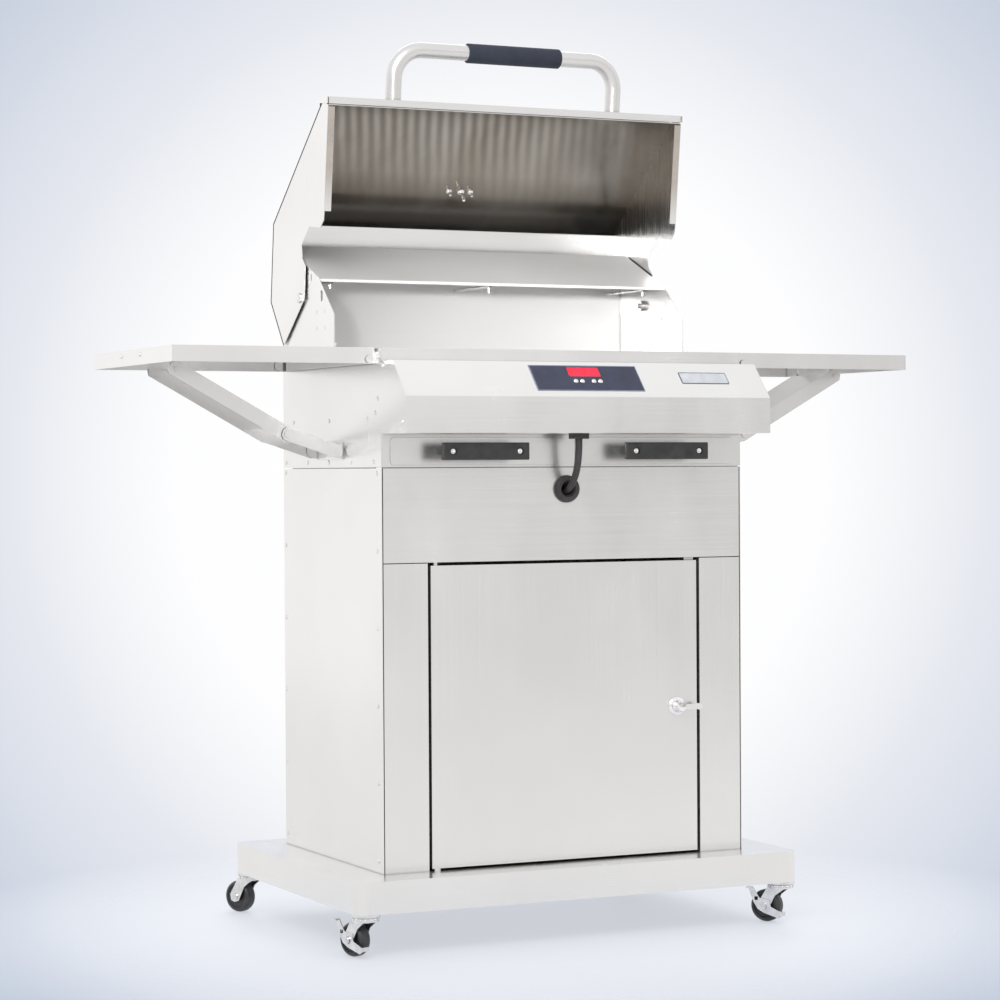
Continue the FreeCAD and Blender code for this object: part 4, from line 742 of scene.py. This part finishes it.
def make_fittings():
    make_slope_plate()
    make_handle_screws()
    make_ball_races()
    make_hood_seam_shade()
    make_shelf_screws()
    make_control_box_screws()


# ---------------------------------------------------------------- floor and light
FLOOR_RADIUS = 6.0
FLOOR_RINGS = 24
FLOOR_STEPS = 96
FLOOR_DROP = 0.0005              # keeps the floor just below the wheels' lowest points
FLOOR_FADE = (0.44, 0.98)


def make_floor():
    """Round pale floor that thins out into the backdrop."""
    build = bmesh.new()
    centre = build.verts.new((0, 0, 0))
    previous = None
    for k in range(1, FLOOR_RINGS + 1):
        radius = FLOOR_RADIUS * (k / FLOOR_RINGS) ** 1.5
        turns = [2 * math.pi * i / FLOOR_STEPS for i in range(FLOOR_STEPS)]
        ring = [build.verts.new((radius * math.cos(turn), radius * math.sin(turn), 0)) for turn in turns]
        for i in range(FLOOR_STEPS):
            j = (i + 1) % FLOOR_STEPS
            inner = [centre] if previous is None else [previous[j], previous[i]]
            build.faces.new([ring[i], ring[j]] + inner)
        previous = ring
    mesh = bpy.data.meshes.new("floor")
    build.to_mesh(mesh)
    build.free()
    floor = bpy.data.objects.new("floor", mesh)
    bpy.context.scene.collection.objects.link(floor)
    floor.location.z = -FLOOR_DROP
    shader = Shader("pale_floor")
    distance = shader.add("ShaderNodeVectorMath")
    distance.operation = "LENGTH"
    shader.link(shader.coordinates.outputs["Object"], distance.inputs[0])
    far = shader.span(distance.outputs["Value"], 0.0, 1.0, *FLOOR_FADE)
    shader.link(shader.ramp(shader.noise(0.9, 3.0), [(0.3, (0.25, 0.26, 0.28)), (0.7, (0.27, 0.28, 0.30))]),
                shader.surface.inputs["Base Color"])
    shader.surface.inputs["Emission Color"].default_value = (0.90, 0.93, 1.0, 1.0)
    shader.set(Emission_Strength=0.53, Roughness=0.6)
    shader.bump(shader.noise(220.0, 3.0), 0.05, 0.0005)
    clear = shader.add("ShaderNodeBsdfTransparent")
    blend = shader.add("ShaderNodeMixShader")
    output = shader.tree.nodes["Material Output"]
    shader.link(far, blend.inputs[0])
    shader.link(shader.surface.outputs[0], blend.inputs[1])
    shader.link(clear.outputs[0], blend.inputs[2])
    shader.link(blend.outputs[0], output.inputs["Surface"])
    mesh.materials.append(shader.material)


VIGNETTE = [(0.0, (1.0, 1.0, 1.0)), (0.22, (0.99, 0.99, 1.0)), (0.40, (0.86, 0.875, 0.91)),
            (0.50, (0.79, 0.81, 0.87)), (0.93, (0.59, 0.645, 0.745)), (1.0, (0.57, 0.63, 0.735))]
VIGNETTE_SPREAD = 0.030          # one less the cosine at which the backdrop reaches its darkest
STUDIO = [(0.0, (0.96, 0.95, 0.94)), (0.30, (0.96, 0.945, 0.93)), (0.375, (0.90, 0.885, 0.87)),
          (0.46, (0.98, 0.97, 0.955)), (0.70, (1.0, 1.0, 1.0)), (1.0, (1.0, 1.0, 1.0))]
BACKDROP_EDGE = (0.955, 0.90)    # cosines between which the backdrop gives way to the studio
CARD_HEIGHTS = [(0.0, (1.03, 1.02, 1.01)), (0.315, (1.03, 1.02, 1.01)), (0.345, (0.44, 0.425, 0.41)),
                (0.392, (0.44, 0.425, 0.41)), (0.440, (0.96, 0.955, 0.95)), (0.55, (1.0, 1.0, 1.0)),
                (1.0, (1.0, 1.0, 1.0))]
CARD_ASIDE = (0.34, 0.52)        # the grey card gets stronger towards the grill's right
CARD_BEHIND = (-0.25, -0.50)     # cosines between which the card behind the viewer fades in
CARD_LEAST = 0.35                # its strength at the left


def make_world():
    """A pale backdrop behind the grill, darker outwards, a bright studio all round and a grey card in it."""
    world = bpy.data.worlds.new("studio")
    bpy.context.scene.world = world
    world.use_nodes = True
    tree = world.node_tree
    background = tree.nodes["Background"]
    coordinates = tree.nodes.new("ShaderNodeTexCoord")
    towards = tree.nodes.new("ShaderNodeVectorMath")
    towards.operation = "DOT_PRODUCT"
    towards.inputs[1].default_value = BACKDROP_AXIS
    tree.links.new(coordinates.outputs["Generated"], towards.inputs[0])
    cosine = towards.outputs["Value"]
    backdrop = ramp_node(tree, range_node(tree, cosine, 1.0, 1.0 - VIGNETTE_SPREAD), VIGNETTE)
    split = tree.nodes.new("ShaderNodeSeparateXYZ")
    tree.links.new(coordinates.outputs["Generated"], split.inputs["Vector"])
    height = range_node(tree, split.outputs["Z"], -0.6, 1.0)
    studio = ramp_node(tree, height, STUDIO)
    card = ramp_node(tree, height, CARD_HEIGHTS)
    aside = range_node(tree, split.outputs["X"], *CARD_ASIDE, CARD_LEAST, 1.0)
    behind = range_node(tree, cosine, *CARD_BEHIND)
    share = tree.nodes.new("ShaderNodeMath")
    share.operation = "MULTIPLY"
    tree.links.new(aside, share.inputs[0])
    tree.links.new(behind, share.inputs[1])
    studio = mix_node(tree, share.outputs[0], studio, card)
    everywhere = mix_node(tree, range_node(tree, cosine, *BACKDROP_EDGE), backdrop, studio)
    tree.links.new(everywhere, background.inputs["Color"])
    background.inputs["Strength"].default_value = 1.0


def soft_light(name, place_at, look_at, size, power, spread=math.pi):
    """Rectangular lamp that is not seen itself."""
    data = bpy.data.lights.new(name, "AREA")
    data.spread = spread
    data.shape = "RECTANGLE"
    data.size, data.size_y = size
    data.energy = power
    light = bpy.data.objects.new(name, data)
    bpy.context.scene.collection.objects.link(light)
    light.location = place_at
    light.rotation_euler = (Vector(look_at) - Vector(place_at)).to_track_quat("-Z", "Y").to_euler()
    light.visible_camera = False


def make_lights():
    soft_light("key", (-2.4, -3.0, 3.4), (0, 0, 0.8), (2.6, 2.0), 90.0)
    soft_light("side", (-2.2, 4.2, 1.5), (0, 0, 0.8), (3.2, 3.0), 5.0)
    soft_light("back", (1.6, 3.6, 3.2), (0, 0, 0.9), (3.0, 1.6), 30.0)
    soft_light("chamber", (-1.5, -2.3, 1.12), (0.14, 0.15, 1.04), (0.5, 0.16), 0.85, math.radians(14))


make_camera()
make_cord()
finish_nodes()
make_fittings()
make_floor()
make_world()
make_lights()
bpy.context.scene.view_settings.view_transform = "Standard"
